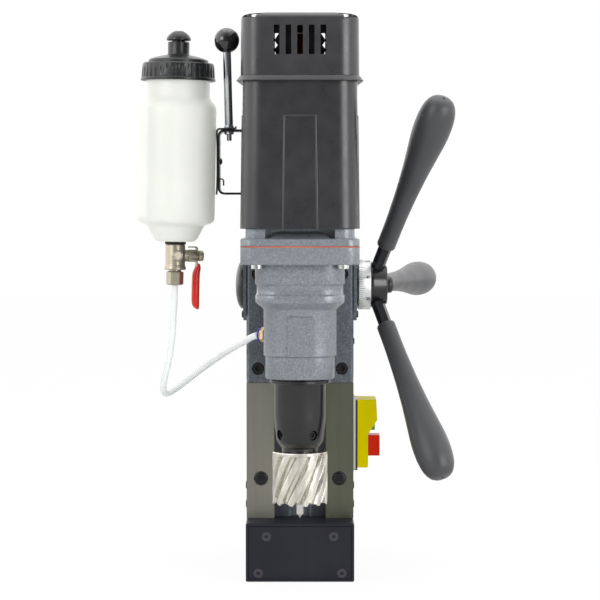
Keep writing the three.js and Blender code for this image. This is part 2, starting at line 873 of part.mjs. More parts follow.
function handlePlace(index) {
  const place = new THREE.Matrix4().makeRotationZ(Math.PI / 2 + index * 2 * Math.PI / handleCount);
  place.multiply(new THREE.Matrix4().makeTranslation(0, 0, handleRootX));
  return place.multiply(new THREE.Matrix4().makeRotationY(Math.PI / 2 - handleTilt));
}

function capstanHub() {
  const wide = shaftRadius + slip;
  const narrow = shaftEndRadius + slip;
  const step = hubFoot + overrun / 2 + slip;
  const body = spin([
    [wide, dialFoot + seat], [hubSleeve, dialFoot + seat], [hubSleeve, hubFoot + seat],
    [hubRadiusInner, hubFoot + seat], [hubRadiusInner, hubFoot + hubWidth * hubShoulderShare],
    [hubRadiusOuter + hubEdge, hubTop - hubEdge], [hubRadiusOuter, hubTop],
    [narrow, hubTop], [narrow, step], [wide, step], [wide, dialFoot + seat],
  ]);
  const cuts = [];
  for (let index = 0; index < handleCount; index += 1) {
    const bore = drum(studRadius + seat, studStart - seat, rodStart + overrun, smallSides);
    const flat = drum(spotRadius, rodStart - seat, rodStart + overrun * 2, smallSides);
    cuts.push(bore.applyMatrix4(handlePlace(index)), flat.applyMatrix4(handlePlace(index)));
  }
  return cut(body, ...cuts);
}

function capNut() {
  const bore = shaftEndRadius + slip;
  const bottom = hubTop;
  const top = bottom + nutWasher + nutLength;
  const depth = shaftTop + slip;
  const crown = nutCrownShares.map(([out, up]) => [nutRadius * out, bottom + nutWasher + nutLength * up]);
  return spin([
    [bore, bottom], [nutWasherRadius, bottom], [nutWasherRadius, bottom + nutWasher], ...crown, [0, top],
    [0, depth], [bore, depth], [bore, bottom],
  ], smallSides);
}

function handleRod(index) {
  const bar = raise(hexShape(rodAcrossFlats), rodEnd - rodStart).translate(0, 0, rodStart);
  const stud = drum(studRadius, studStart, rodStart + overrun, smallSides);
  return join(bar, stud).applyMatrix4(handlePlace(index));
}

function handleGrip(index) {
  const bore = rodAcrossFlats / 2 / Math.cos(Math.PI / 6) + seat;
  const depth = rodEnd - gripStart + seat;
  const last = gripProfile[gripProfile.length - 1];
  const profile = [[0, depth], [bore, depth], [bore, 0], ...gripProfile, [0, last[1] + gripTipRise]];
  return spin(profile, gripSides).translate(0, 0, gripStart).applyMatrix4(handlePlace(index));
}

// Switch: a base plate, a stepped cover and the two push buttons
const switchFoot = magnetHeight + switchRise;
const buttonFace = housingHalf + flangeThickness + switchStep;

function switchBase() {
  const outline = roundedShape(switchDepth / 2, switchHeight / 2, switchCorner);
  return raise(outline, flangeThickness + switchPlate).rotateX(Math.PI / 2).rotateZ(Math.PI / 2)
    .translate(housingHalf, switchY, switchFoot + switchHeight / 2);
}

function switchCover() {
  const foot = housingHalf + flangeThickness + switchPlate;
  const face = housingHalf + flangeThickness + switchStep;
  const crest = housingHalf + flangeThickness + switchCrest + switchPlate;
  const top = switchFoot + switchHeight;
  const outer = [
    [foot, switchFoot + switchWall], [face, switchFoot + switchWall], [face, top - switchStepDrop],
    [crest, top - switchCrestDrop], [foot + switchTop, top], [foot, top],
  ];
  const half = switchDepth / 2 - switchWall;
  const shell = flipped(alongY(raise(polygonShape(outer), 2 * half))).translate(0, switchY - half, 0);
  const holes = buttonPlaces.map(({ foot: z0, height }) => slab(
    foot - overrun, crest + overrun, switchY - buttonDepthWide / 2 - slip, switchY + buttonDepthWide / 2 + slip,
    z0 - slip, z0 + height + slip,
  ));
  return cut(shell, ...holes);
}

const buttonPlaces = [
  { foot: switchFoot + stopRise, height: buttonSize, proud: stopProud },
  { foot: switchFoot + startRise, height: startHeight, proud: startProud },
];

function pushButton({ foot, height, proud }) {
  const back = housingHalf + flangeThickness + switchPlate + buttonTravel + slip;
  const half = buttonDepthWide / 2;
  const shape = roundedShape(half, height / 2, switchCorner);
  const button = raise(shape, buttonFace + proud - back, 0).rotateX(Math.PI / 2).rotateZ(Math.PI / 2);
  return button.translate(back, switchY, foot + height / 2);
}

// Carriage: the slide in the dovetail and the rack let into its back
function slideBlock() {
  const padBack = housingFront - slidePadGap;
  const male = raise(dovetailShape(slip, padBack - padOverlap), slideTop - slideFoot);
  const pad = slab(-slideHalf, slideHalf, gearboxBack, padBack, 0, slideTop - slideFoot);
  const pocket = slab(
    -rackHalf - seat, rackHalf + seat, rackRoot - rackBody - seat, columnFront + overrun,
    rackFoot - seat - slideFoot, slideTop - slideFoot + overrun,
  );
  return cut(join(pad, male), pocket).translate(0, 0, slideFoot);
}

const rackRoot = rackPitchY - toothRootFactorShare * toothModule;

function feedRack() {
  const tip = rackPitchY + toothModule;
  const back = rackRoot - rackBody;
  const [rootShare, tipShare] = rackToothShares;
  const points = [[back, rackFoot], [rackRoot, rackFoot]];
  const first = Math.ceil((rackFoot - shaftZ) / toothPitch);
  const last = Math.floor((slideTop - shaftZ) / toothPitch) - 1;
  for (let tooth = first; tooth <= last; tooth += 1) {
    const middle = shaftZ + tooth * toothPitch;
    for (const [y, share] of [[rackRoot, -rootShare], [tip, -tipShare], [tip, tipShare], [rackRoot, rootShare]]) {
      points.push([y, middle + share * toothPitch]);
    }
  }
  points.push([rackRoot, slideTop], [back, slideTop]);
  return alongX(raise(polygonShape(points), 2 * rackHalf)).translate(-rackHalf, 0, 0);
}

// Gearbox: a stack of rounded squares with a gear chamber, pads and a rear boss that bolts to the slide
function gearboxHousing() {
  const edge = housingEdge / 4;
  const stack = squareStack([
    [gearboxFoot, footHalf - edge, footCorner - edge], [gearboxFoot + edge, footHalf, footCorner],
    [barrelFoot - edge, footHalf, footCorner], [barrelFoot, barrelHalf, barrelCorner],
    [coneFoot, barrelHalf, barrelCorner], [ringFoot, ringHalf, ringCorner],
    [neckFoot, ringHalf, ringCorner], [neckFoot + edge, neckHalf, neckCorner],
    [bowlFoot, neckHalf, neckCorner], [bowlFoot + edge, bowlHalf, bowlCorner],
    [gearboxFlangeFoot, bowlHalf, bowlCorner],
    [gearboxFlangeFoot, gearboxFlangeHalf - edge, gearboxFlangeCorner],
    [gearboxFlangeFoot + edge, gearboxFlangeHalf, gearboxFlangeCorner],
    [gearboxTop, gearboxFlangeHalf, gearboxFlangeCorner],
  ]);
  const frontPad = slab(
    -frontPadWidth / 2, frontPadWidth / 2, -barrelHalf - frontPadProud, 0,
    barrelFoot, barrelFoot + frontPadHeight,
  );
  const sidePads = sidePadBlock();
  const boss = slab(-slideHalf, slideHalf, 0, gearboxFlangeHalf, slideFoot, gearboxTop - gearboxFlangeHeight / 2);
  const outside = join(stack, frontPad, sidePads, boss);
  const spindleHole = drum(spindleRadius + slip, gearboxFoot - overrun, chamberFoot + overrun);
  const layBearing = drum(layshaftRadius + bearingSlip, chamberFoot - journal, chamberFoot + overrun, smallSides);
  return cut(
    outside, chamber(chamberFoot, gearboxTop + overrun), spindleHole,
    layBearing.translate(0, shaftSpread, 0), ...coolantPort(),
  ).translate(0, spindleY, 0);
}

function sidePadBlock() {
  const half = sidePadWidth / 2;
  const foot = barrelHalf + sidePadFootProud;
  const top = barrelHalf + sidePadProud;
  const outline = polygonShape([
    [-foot, barrelFoot], [foot, barrelFoot],
    [top, barrelFoot + frontPadHeight], [-top, barrelFoot + frontPadHeight],
  ]);
  return flipped(alongY(raise(outline, 2 * half))).translate(0, -half, 0);
}

// The room for the gears, about the spindle axis, reaching back into the rear boss for the layshaft
function chamber(z0, z1) {
  const layGearRoom = (layGearTeeth / 2 + 1) * gearModule + pocketClearance;
  const round = drum(bowlHalf - 2 * chamberWall, z0, z1);
  const back = slab(-layGearRoom, layGearRoom, 0, gearboxFlangeHalf - chamberWall, z0, z1);
  return join(round, back);
}

// The port for the coolant fitting looks to the left and a little to the back
function towardsFitting(geometry) {
  return geometry.rotateY(-Math.PI / 2).rotateZ(-fittingAngle).translate(0, 0, gearboxFoot + fittingRise);
}

function coolantPort() {
  const hole = drum(tubeRadius, spindleRadius, fittingFoot + overrun, smallSides);
  const face = raise(hexShape(fittingAcross + 2 * seat), fittingLength + overrun);
  face.translate(0, 0, fittingFoot - seat);
  return [towardsFitting(hole), towardsFitting(face)];
}

function gasket() {
  const sheet = squareStack([
    [0, gearboxFlangeHalf, gearboxFlangeCorner], [gasketThickness, gearboxFlangeHalf, gearboxFlangeCorner],
  ]).translate(0, 0, gearboxTop);
  return cut(sheet, chamber(gearboxTop - overrun, gearboxTop + overrun)).translate(0, spindleY, 0);
}

function gearboxCover() {
  const edge = housingEdge / 4;
  const stack = squareStack([
    [gearboxCoverFoot, gearboxFlangeHalf, gearboxFlangeCorner],
    [coverBlockFoot - edge, gearboxFlangeHalf, gearboxFlangeCorner],
    [coverBlockFoot, gearboxFlangeHalf - edge, gearboxFlangeCorner],
    [coverBlockFoot, coverBlockHalf, coverBlockCorner], [motorFoot, coverBlockHalf, coverBlockCorner],
  ]);
  const slope = polygonShape([
    [-coverBlockHalf - overrun, motorFoot - exhaustHeight], [-coverBlockHalf, motorFoot - exhaustHeight],
    [exhaustReach - coverBlockHalf, motorFoot - exhaustHeight * exhaustEndShare],
    [exhaustReach - coverBlockHalf, motorFoot + overrun], [-coverBlockHalf - overrun, motorFoot + overrun],
  ]);
  const exhaust = alongX(raise(slope, 2 * exhaustHalf)).translate(-exhaustHalf, 0, 0);
  const shaftHole = drum(motorShaftRadius + 2 * slip, gearboxCoverFoot - overrun, motorFoot + overrun, smallSides);
  const layRoom = layshaftRadius + bearingSlip;
  const layBearing = drum(layRoom, gearboxCoverFoot - overrun, gearboxCoverFoot + journal, smallSides);
  return cut(stack, exhaust, shaftHole, layBearing.translate(0, shaftSpread, 0)).translate(0, spindleY, 0);
}

// Gear train: the spindle gear, the layshaft with its two gears and the pinion on the armature
function spindle() {
  const shaft = drum(spindleRadius, gearboxFoot - spindleNose, spindleGearTop);
  const gear = raise(gearShape(spindleGearTeeth, gearModule), gearFace).rotateZ(Math.PI / 2);
  gear.translate(0, 0, spindleGearFoot);
  const bore = drum(spindleBore, gearboxFoot - spindleNose - overrun, gearboxFoot + spindleBoreDepth, smallSides);
  return cut(join(shaft, gear), bore).translate(0, spindleY, 0);
}

function layshaft() {
  const shaft = drum(layshaftRadius, chamberFoot - journal + slip, gearboxCoverFoot + journal - slip, smallSides);
  const small = raise(gearShape(layPinionTeeth, gearModule), gearFace).rotateZ(gapTowardsFront(layPinionTeeth));
  const large = raise(gearShape(layGearTeeth, gearModule), gearFace).rotateZ(gapTowardsFront(layGearTeeth));
  return join(shaft, small.translate(0, 0, spindleGearFoot), large.translate(0, 0, layGearFoot))
    .translate(0, layshaftY, 0);
}

// Arbor, set screws, cutter and pilot pin, all about the spindle axis
const arborTop = gearboxFoot - arborGap;
const arborBodyTop = arborTop - arborCollar;
const taperFoot = arborBodyTop - arborStraight - arborTaper;
const arborFoot = taperFoot - arborChamfer - arborGroove;
const noseFoot = gearboxFoot - spindleNose;
const cutterTop = arborFoot - arborGap / 2;
const cutterFoot = cutterTop - cutterLength;
const pinFoot = cutterFoot - pinProud;
const shankTop = cutterTop + shankLength;

function arbor() {
  const edge = housingEdge / 3;
  const body = spin([
    [0, arborFoot], [arborGrooveRadius, arborFoot], [arborGrooveRadius, arborFoot + arborGroove],
    [arborChamferRadius, arborFoot + arborGroove], [arborTaperRadius, taperFoot],
    [arborRadius, taperFoot + arborTaper], [arborRadius, arborBodyTop], [arborCollarRadius - edge, arborBodyTop],
    [arborCollarRadius, arborBodyTop + edge], [arborCollarRadius, arborTop - edge],
    [arborCollarRadius - edge, arborTop], [0, arborTop],
  ], wideSides);
  const socket = drum(spindleRadius + seat, noseFoot - seat, arborTop + overrun);
  const through = drum(spindleBore, arborFoot, arborTop, smallSides);
  const shank = drum(shankRadius + seat, arborFoot - overrun, shankTop + seat);
  return cut(body, socket, through, shank, ...setScrewAngles.map((angle) => setScrewHole(angle)))
    .translate(0, spindleY, 0);
}

const setScrewAngles = [-57, -147].map((degrees) => degrees * Math.PI / 180);
const setScrewZ = arborBodyTop - setScrewDrop;

function setScrewHole(angle) {
  const hole = drum(setScrewRadius + seat, shankRadius - overrun, arborRadius + overrun, smallSides);
  return hole.rotateY(Math.PI / 2).rotateZ(angle).translate(0, 0, setScrewZ);
}

function setScrew(angle) {
  const outer = arborTaperRadius - setScrewSink + setScrewRadius;
  const inner = shankRadius + seat;
  const socket = raise(hexShape(setScrewRadius), outer).translate(0, 0, outer - setScrewRadius);
  return cut(drum(setScrewRadius, inner, outer, smallSides), socket)
    .rotateY(Math.PI / 2).rotateZ(angle).translate(0, spindleY, setScrewZ);
}

// The cutter: each flute's section is turned a little further at every layer, which makes the helix
function cutter() {
  const root = cutterRadius * (1 - fluteDepthShare);
  const height = cutterLength - cutterRim;
  const twist = height * Math.tan(fluteHelix) / cutterRadius;
  const rings = [];
  for (let layer = 0; layer <= fluteLayers; layer += 1) {
    const share = layer / fluteLayers;
    const ring = [];
    for (let flute = 0; flute < fluteCount; flute += 1) {
      for (const [along, deep, step] of fluteSectionShares) {
        const angle = (flute + along) * 2 * Math.PI / fluteCount + share * twist;
        const radius = cutterRadius + deep * (root - cutterRadius);
        const toothDrop = layer > 0 ? 0 : cutterToothStep * step;
        ring.push([radius * Math.cos(angle), radius * Math.sin(angle), share * height + toothDrop]);
      }
    }
    rings.push(ring);
  }
  const edge = cutterRim / 5;
  const rim = spin([
    [0, height - edge], [cutterRadius - edge, height - edge], [cutterRadius - edge / 2, height],
    [cutterRadius - edge / 2, cutterLength - edge], [cutterRadius - 2 * edge, cutterLength], [0, cutterLength],
  ], wideSides);
  const shank = drum(shankRadius, cutterLength - edge, cutterLength + shankLength);
  const hollow = drum(cutterRadius - cutterWall, -overrun, cutterLength - cutterRoof, wideSides);
  const pinHole = drum(pinRadius + slip, 0, cutterLength + shankLength + overrun, smallSides);
  return cut(join(loft(rings), rim, shank), hollow, pinHole).translate(0, spindleY, cutterFoot);
}

function pilotPin() {
  return spin([
    [0, pinFoot], [pinRadius, pinFoot + pinPoint], [pinRadius, shankTop + seat + slip],
    [pinHeadRadius, shankTop + seat + slip], [pinHeadRadius, shankTop + seat + slip + pinHead],
    [0, shankTop + seat + slip + pinHead],
  ], smallSides).translate(0, spindleY, 0);
}

// Motor: a tapered rounded-square case with side plates and a front panel, bored for the stator
function motorHousing() {
  const plates = squareStackOblong(sidePlateHeight);
  const stack = squareStack([
    [motorFoot, motorFootHalf - sidePlateProud, motorCorner], [motorTop, motorTopHalf, motorCorner],
  ]);
  const front = motorFootHalf - sidePlateProud;
  const lean = (front - motorTopHalf) / motorHeight;
  const panel = loft([
    panelRing(motorPanelFoot / 2, -front - motorPanelProud, motorFoot),
    panelRing(motorPanelTop / 2, -front - motorPanelProud + lean * sidePlateHeight, motorFoot + sidePlateHeight),
  ]);
  const bore = drum(motorBore, motorFoot + motorFloor, motorTop + overrun, wideSides);
  const floorTop = motorFoot + motorFloor;
  const shaftHole = drum(motorShaftRadius + 2 * slip, motorFoot - overrun, floorTop + overrun, smallSides);
  return cut(join(stack, plates, panel), bore, shaftHole).translate(0, spindleY, 0);
}

function panelRing(half, y, z) {
  return [[-half, y, z], [half, y, z], [half, 0, z], [-half, 0, z]];
}

function squareStackOblong(height) {
  const half = motorFootHalf;
  const lean = (motorFootHalf - sidePlateProud - motorTopHalf) / motorHeight * height;
  const y = sidePlateWidth / 2;
  const ring = (x, z) => [[-x, -y, z], [x, -y, z], [x, y, z], [-x, y, z]];
  return loft([ring(half, motorFoot), ring(half - lean, motorFoot + height)]);
}

function motorLip() {
  const edge = lipHeight / 3;
  const ring = squareStack([
    [motorTop, lipHalf - 2 * edge, motorCorner], [motorTop + edge, lipHalf, motorCorner + edge],
    [motorTop + 2 * edge, lipHalf, motorCorner + edge], [capFoot, capHalf + edge, motorCorner],
  ]);
  return cut(ring, drum(motorBore, motorTop - overrun, capFoot + overrun, wideSides)).translate(0, spindleY, 0);
}

// Motor cap: a shell with vent slots through its front and back, corner pockets and a bearing boss
function motorCap() {
  const edge = capCrown * 2;
  const outside = squareStack([
    [capFoot, capHalf, motorCorner], [capTop - edge, capHalf - capCrown / 4, motorCorner],
    [capTop - capCrown / 2, capHalf - capCrown, motorCorner], [capTop, capHalf - edge, motorCorner - edge],
  ]);
  const inside = squareStack([
    [capFoot - overrun, capHalf - capWall, motorCorner - capWall],
    [capTop - capRoof - capCrown, capHalf - capWall, motorCorner - capWall],
  ]);
  const tools = [inside];
  const slotTop = capTop - slotDrop;
  for (let slot = 0; slot < slotCount; slot += 1) {
    const x = (slot - (slotCount - 1) / 2) * slotPitch;
    const reach = capHalf + overrun;
    tools.push(slab(x - slotWidth / 2, x + slotWidth / 2, -reach, reach, slotTop - slotHeight, slotTop));
  }
  for (const x of [-capPocketHalf, capPocketHalf]) {
    for (const y of [-capPocketHalf, capPocketHalf]) {
      tools.push(slab(
        Math.min(x - capPocketRadius, Math.sign(x) * (capHalf + overrun)),
        Math.max(x + capPocketRadius, Math.sign(x) * (capHalf + overrun)),
        Math.min(y - capPocketRadius, Math.sign(y) * (capHalf + overrun)),
        Math.max(y + capPocketRadius, Math.sign(y) * (capHalf + overrun)),
        capTop - capPocketDepth, capTop + overrun,
      ));
    }
  }
  const shell = cut(outside, ...tools);
  const posts = [];
  for (const x of [-capPocketHalf, capPocketHalf]) {
    for (const y of [-capPocketHalf, capPocketHalf]) {
      posts.push(drum(capPocketRadius, capFoot, capTop - capPocketDepth, smallSides).translate(x, y, 0));
    }
  }
  const shaftEnd = capFoot + motorShaftTop;
  const boss = pipe(
    motorShaftRadius + bearingSlip, bearingBoss, shaftEnd - bearingBoss, capTop - capRoof, smallSides,
  );
  return join(shell, ...posts, boss).translate(0, spindleY, 0);
}

function fieldStator() {
  const foot = motorFoot + statorFoot;
  return pipe(statorInner, motorBore - seat, foot, foot + statorHeight, wideSides).translate(0, spindleY, 0);
}

function armature() {
  const coreFoot = motorFoot + armatureFoot;
  const commutatorFoot = capFoot + commutatorLift - commutatorHeight / 2;
  const shaft = drum(motorShaftRadius, layGearFoot - slip, capFoot + motorShaftTop - slip, smallSides);
  const pinion = raise(gearShape(motorPinionTeeth, gearModule), gearFace + slip)
    .rotateZ(Math.PI / 2).translate(0, 0, layGearFoot - slip);
  const core = raise(slottedDisc(), armatureHeight).translate(0, 0, coreFoot);
  const coreTop = coreFoot + armatureHeight;
  const commutator = drum(commutatorRadius, coreTop - overrun, commutatorFoot + commutatorHeight);
  return join(shaft, pinion, core, commutator).translate(0, spindleY, 0);
}

function slottedDisc() {
  const points = [];
  for (let slot = 0; slot < armatureSlots; slot += 1) {
    const step = 2 * Math.PI / armatureSlots;
    for (const [deep, share] of armatureSectionShares) {
      const radius = armatureRadius * (1 - deep * armatureSlotShare);
      const angle = (slot + share) * step;
      points.push([radius * Math.cos(angle), radius * Math.sin(angle)]);
    }
  }
  return polygonShape(points);
}

function coolingFan() {
  const foot = motorFoot + motorFloor + gearGap / 2;
  const disc = drum(fanRadius, foot + fanHeight - fanDisc, foot + fanHeight);
  const hub = drum(fanHub, foot, foot + fanHeight);
  const blades = [];
  for (let blade = 0; blade < fanBlades; blade += 1) {
    const top = foot + fanHeight - fanDisc / 2;
    const wing = slab(fanHub / 2, fanRadius, -fanBlade / 2, fanBlade / 2, foot, top);
    blades.push(wing.rotateZ(blade * 2 * Math.PI / fanBlades));
  }
  const bore = drum(motorShaftRadius + seat, foot - overrun, foot + fanHeight + overrun, smallSides);
  return cut(join(disc, hub, ...blades), bore).translate(0, spindleY, 0);
}

function brushHolder(side) {
  const middle = capFoot + commutatorLift;
  const outer = capHalf - capWall - seat;
  const holder = slab(
    brushInner, outer, -brushWidth / 2, brushWidth / 2, middle - brushWidth / 2, middle + brushWidth / 2,
  );
  return holder.rotateZ(side > 0 ? 0 : Math.PI).translate(0, spindleY, 0);
}

// Bottle: rounded squares that turn round at the neck and at the drain cone, all in the bottle's own frame
function bottleLevels(wall) {
  const half = bottleHalf - wall;
  const corner = bottleCorner - wall;
  const stepTop = bottleCone + bottleStep;
  const shoulder = stepTop + bottleBody;
  const collar = shoulder + bottleShoulder;
  const [stepUp, stepIn, stepRound] = bottleStepShares;
  const [shoulderUp, shoulderIn, shoulderRound] = bottleShoulderShares;
  const [collarUp, collarOut, collarRound] = bottleCollarShares;
  return [
    [0, bottleConeRadius - wall, 1], [bottleCone, bottleConeTopRadius - wall, 1],
    [bottleCone + bottleStep * stepUp, half - bottleStep * stepIn, stepRound], [stepTop, half, corner / half],
    [shoulder, half, corner / half],
    [shoulder + bottleShoulder * shoulderUp, half - wall / 2 - bottleStep * shoulderIn, shoulderRound],
    [shoulder + bottleShoulder * collarUp, bottleNeckRadius - wall + bottleStep * collarOut, collarRound],
    [collar, bottleNeckRadius - wall, 1],
  ].map(([z, size, round]) => [z, size, size * Math.min(round, fullRoundShare)]);
}

const bottleTop = bottleCone + bottleStep + bottleBody + bottleShoulder + bottleNeck;

function coolantBottle() {
  const outside = [...bottleLevels(0), [bottleTop, bottleNeckRadius, bottleNeckRadius * fullRoundShare]];
  const inside = bottleLevels(bottleWall).filter((level, i) => i !== 2 && i !== 5);
  inside[0][0] = 2 * bottleWall;
  const neckRoom = bottleNeckRadius - bottleWall;
  inside.push([bottleTop + overrun, neckRoom, neckRoom * fullRoundShare]);
  const ring = ([z, half, corner]) => squareRing(half, corner, z, ringArcSteps + 1);
  const rings = (levels) => loft(levels.map(ring));
  const outlet = drum(tubeRadius, -overrun, overrun, smallSides);
  return cut(rings(outside), rings(inside), outlet).rotateZ(bottleTurn);
}

// Cap: a ribbed ring that hangs over the neck, with a disc and the spout's neck above it
function bottleCap() {
  const foot = bottleTop - capRingHeight + seat * 2 + bottleWall;
  const ringTop = foot + capRingHeight;
  const ribs = raise(ribbedShape(), capRingHeight - capHem).translate(0, 0, foot + capHem);
  const ring = spin([
    [0, foot], [capRingFoot, foot], [capRingFoot, foot + capHem],
    [capRingTop - capRibDepth, ringTop - capRibDepth],
    [capRingTop - 2 * capRibDepth, ringTop], [0, ringTop],
  ], wideSides);
  const disc = spin([
    [0, ringTop - capRibDepth], [capDiscRadius, ringTop - capRibDepth],
    [capDiscRadius, ringTop + capDiscHeight * capDiscEdgeShare],
    [capDiscRadius - 2 * capRibDepth, ringTop + capDiscHeight],
    [0, ringTop + capDiscHeight],
  ]);
  const spoutNeck = drum(spoutNeckRadius, ringTop, ringTop + capDiscHeight + spoutNeckHeight);
  const room = drum(bottleNeckRadius + capRoomSlip, foot - overrun, bottleTop + seat, wideSides);
  const bore = drum(spoutNeckRadius - 2 * bottleWall, foot, ringTop + capDiscHeight + spoutNeckHeight + overrun);
  return cut(join(ring, ribs, disc, spoutNeck), room, bore);
}

function ribbedShape() {
  const points = [];
  for (let rib = 0; rib < capRibs; rib += 1) {
    const step = 2 * Math.PI / capRibs;
    for (const [share, depth] of capRibShares) {
      const radius = capRingFoot - capRibDepth / 2 - depth * capRibDepth;
      points.push([radius * Math.cos((rib + share) * step), radius * Math.sin((rib + share) * step)]);
    }
  }
  return polygonShape(points);
}

// Spout: a mushroom knob with a stem that slides in the cap's neck
function bottleSpout() {
  const neckTop = bottleTop + seat * 2 + bottleWall + capDiscHeight + spoutNeckHeight;
  const foot = neckTop + spoutGap;
  const stem = spoutNeckRadius - 2 * bottleWall - slip;
  const knob = spoutKnobShares.map(([out, up]) => [spoutKnobRadius * out, foot + spoutKnobHeight * up]);
  return spin([[0, neckTop - spoutNeckHeight], [stem, neckTop - spoutNeckHeight], [stem, foot], ...knob]);
}

// Tap: its body under the bottle, the side stem, and a plain round boss in front
function tapBody() {
  const foot = -seat - tapHeight;
  const body = spin([
    [0, foot], [tapRimRadius, foot], [tapRimRadius, foot + tapRim], [tapRadius, foot + tapRim * tapNeckShare],
    [tapRadius, -seat - tapRim / 2], [tapRimRadius, -seat - tapRim / 2], [tapRimRadius, -seat], [0, -seat],
  ], roundSides);
  const stemZ = -stemRise;
  const stem = raise(hexShape(2 * stemRadius), stemReach).rotateY(Math.PI / 2).translate(0, 0, stemZ);
  const boss = drum(tapBossRadius, 0, tapRadius + tapBossProud, smallSides).rotateX(Math.PI / 2)
    .translate(0, 0, stemZ);
  const pinReach = stemReach + leverPlate + leverKnob * pinInKnobShare;
  const pin = drum(stemPinRadius, 0, pinReach, smallSides).rotateY(Math.PI / 2).translate(0, 0, stemZ);
  return join(body, stem, boss, pin);
}

// Lever: a plate on the stem's pin with a cranked, vinyl-covered handle hanging from it
function tapLever() {
  const plateX = stemReach + slip;
  const bore = stemPinRadius + slip;
  const knob = pipe(bore, leverKnobRadius, plateX, plateX + leverPlate + leverKnob, smallSides)
    .rotateY(Math.PI / 2);
  const plate = slab(
    plateX, plateX + leverPlate, -leverWidth / 2, leverWidth / 2, -leverDrop - overrun / 2, -bore,
  );
  const half = leverWidth / 2;
  const outline = polygonShape(leverShares.map(([out, down]) => [
    plateX + out * leverThick, -leverDrop - down * leverLength,
  ]));
  const handle = flipped(alongY(raise(outline, leverWidth, leverEdge))).translate(0, -half, 0);
  return join(knob, plate, handle).translate(0, 0, -stemRise);
}

function compressionNut() {
  const top = -seat - tapHeight;
  const nut = raise(hexShape(nutAcross), nutHeight - nutSpigot).translate(0, 0, top - nutHeight);
  const neck = drum(nutSpigotRadius, top - 2 * nutSpigot, top, smallSides);
  const bore = drum(tubeRadius + 2 * seat, top - nutHeight - overrun, top - nutHeight * nutBoreShare, smallSides);
  return cut(join(nut.rotateZ(nutTurn), neck), bore);
}

function coolantTube() {
  const points = tubeRoute.map((point) => new THREE.Vector3(...point));
  const curve = new THREE.CatmullRomCurve3(points, false, "centripetal");
  const section = new THREE.Shape();
  section.absarc(0, 0, tubeRadius, 0, 2 * Math.PI);
  return new THREE.ExtrudeGeometry(section, {
    extrudePath: curve, steps: tubeSteps, bevelEnabled: false, curveSegments: tubeSides / 2,
  });
}

// Push-in fitting on the gearbox's left pad and its coloured release collet
function tubeFitting() {
  const body = raise(hexShape(fittingAcross), fittingLength).translate(0, 0, fittingFoot);
  const spigot = drum(tubeRadius - seat, spindleRadius + overrun, fittingFoot + fittingLength / 2, smallSides);
  return towardsFitting(join(body, spigot)).translate(0, spindleY, 0);
}

function fittingCollet() {
  const foot = fittingFoot + fittingLength;
  const ring = pipe(tubeRadius + slip, colletRadius, foot, foot + colletLength, smallSides * 2);
  return towardsFitting(ring).translate(0, spindleY, 0);
}

// Bracket: a strip bent into a C on the motor's left side, with a tail along the bottle and a hook
const motorSideX = (z) => {
  const lean = (motorFootHalf - sidePlateProud - motorTopHalf) / motorHeight;
  return -(motorFootHalf - lean * (z - motorFoot)) - seat;
};

function bottleBracket() {
  const top = strapTop;
  const t = strapThickness;
  const tail = ballRodX + strapTailReach;
  const outline = polygonShape([
    [motorSideX(strapFoot), strapFoot], [motorSideX(strapFoot), strapFoot + t], [strapX, strapFoot + t],
    [strapX, top - t], [motorSideX(top), top - t], [motorSideX(top), top], [tail, top],
    [tail, top + strapTailRise], [tail - strapPlate, top + strapTailRise], [tail - strapPlate, top + strapPlate],
    [strapBack, top + strapPlate], [strapBack, strapFoot],
  ]);
  const strapY = bottleY - ballRodForward - strapWidth / 2;
  const strap = flipped(alongY(raise(outline, strapWidth))).translate(0, strapY, 0);
  const hookZ = strapFoot + hookRise;
  const hookX = strapX + hookReach;
  const y0 = bottleY - hookWidth / 2;
  const tab = slab(strapX - t / 2, hookX, y0, y0 + hookWidth, hookZ - hookThickness, hookZ);
  const lip = slab(hookX - hookThickness, hookX, y0, y0 + hookWidth, hookZ - hookDrop, hookZ);
  const hole = drum(ballStudRadius + 2 * seat, top - t - overrun, top + overrun, smallSides);
  return cut(join(strap, tab, lip), hole.translate(ballRodX, ballRodY, 0));
}

const ballRodY = bottleY - ballRodForward - strapWidth / 4;

// The rod and its ball lean a little towards the bottle, about the rod's place in the bracket
function leaning(geometry) {
  return geometry.rotateY(-ballLean).translate(ballRodX, ballRodY, strapTop);
}

function ballRod() {
  const upperFoot = strapPlate + seat;
  const stud = drum(ballStudRadius, -ballRodTail, upperFoot + rodNutHeight, smallSides);
  const tip = ballRise - ballRadius * rodInBallShare;
  const rod = drum(ballRodRadius, upperFoot + rodNutHeight / 2, tip, smallSides);
  const nut = raise(hexShape(rodNutAcross), rodNutHeight);
  const lower = nut.clone().translate(0, 0, -strapThickness - seat - rodNutHeight);
  return leaning(join(rod, stud, lower, nut.translate(0, 0, upperFoot)));
}

function rodBall() {
  const ball = new THREE.SphereGeometry(ballRadius, smallSides + 2, smallSides - 2).rotateX(Math.PI / 2);
  const bore = drum(ballRodRadius + seat, -ballRadius - overrun, seat - ballRadius * rodInBallShare, smallSides);
  return leaning(cut(ball, bore).translate(0, 0, ballRise));
}

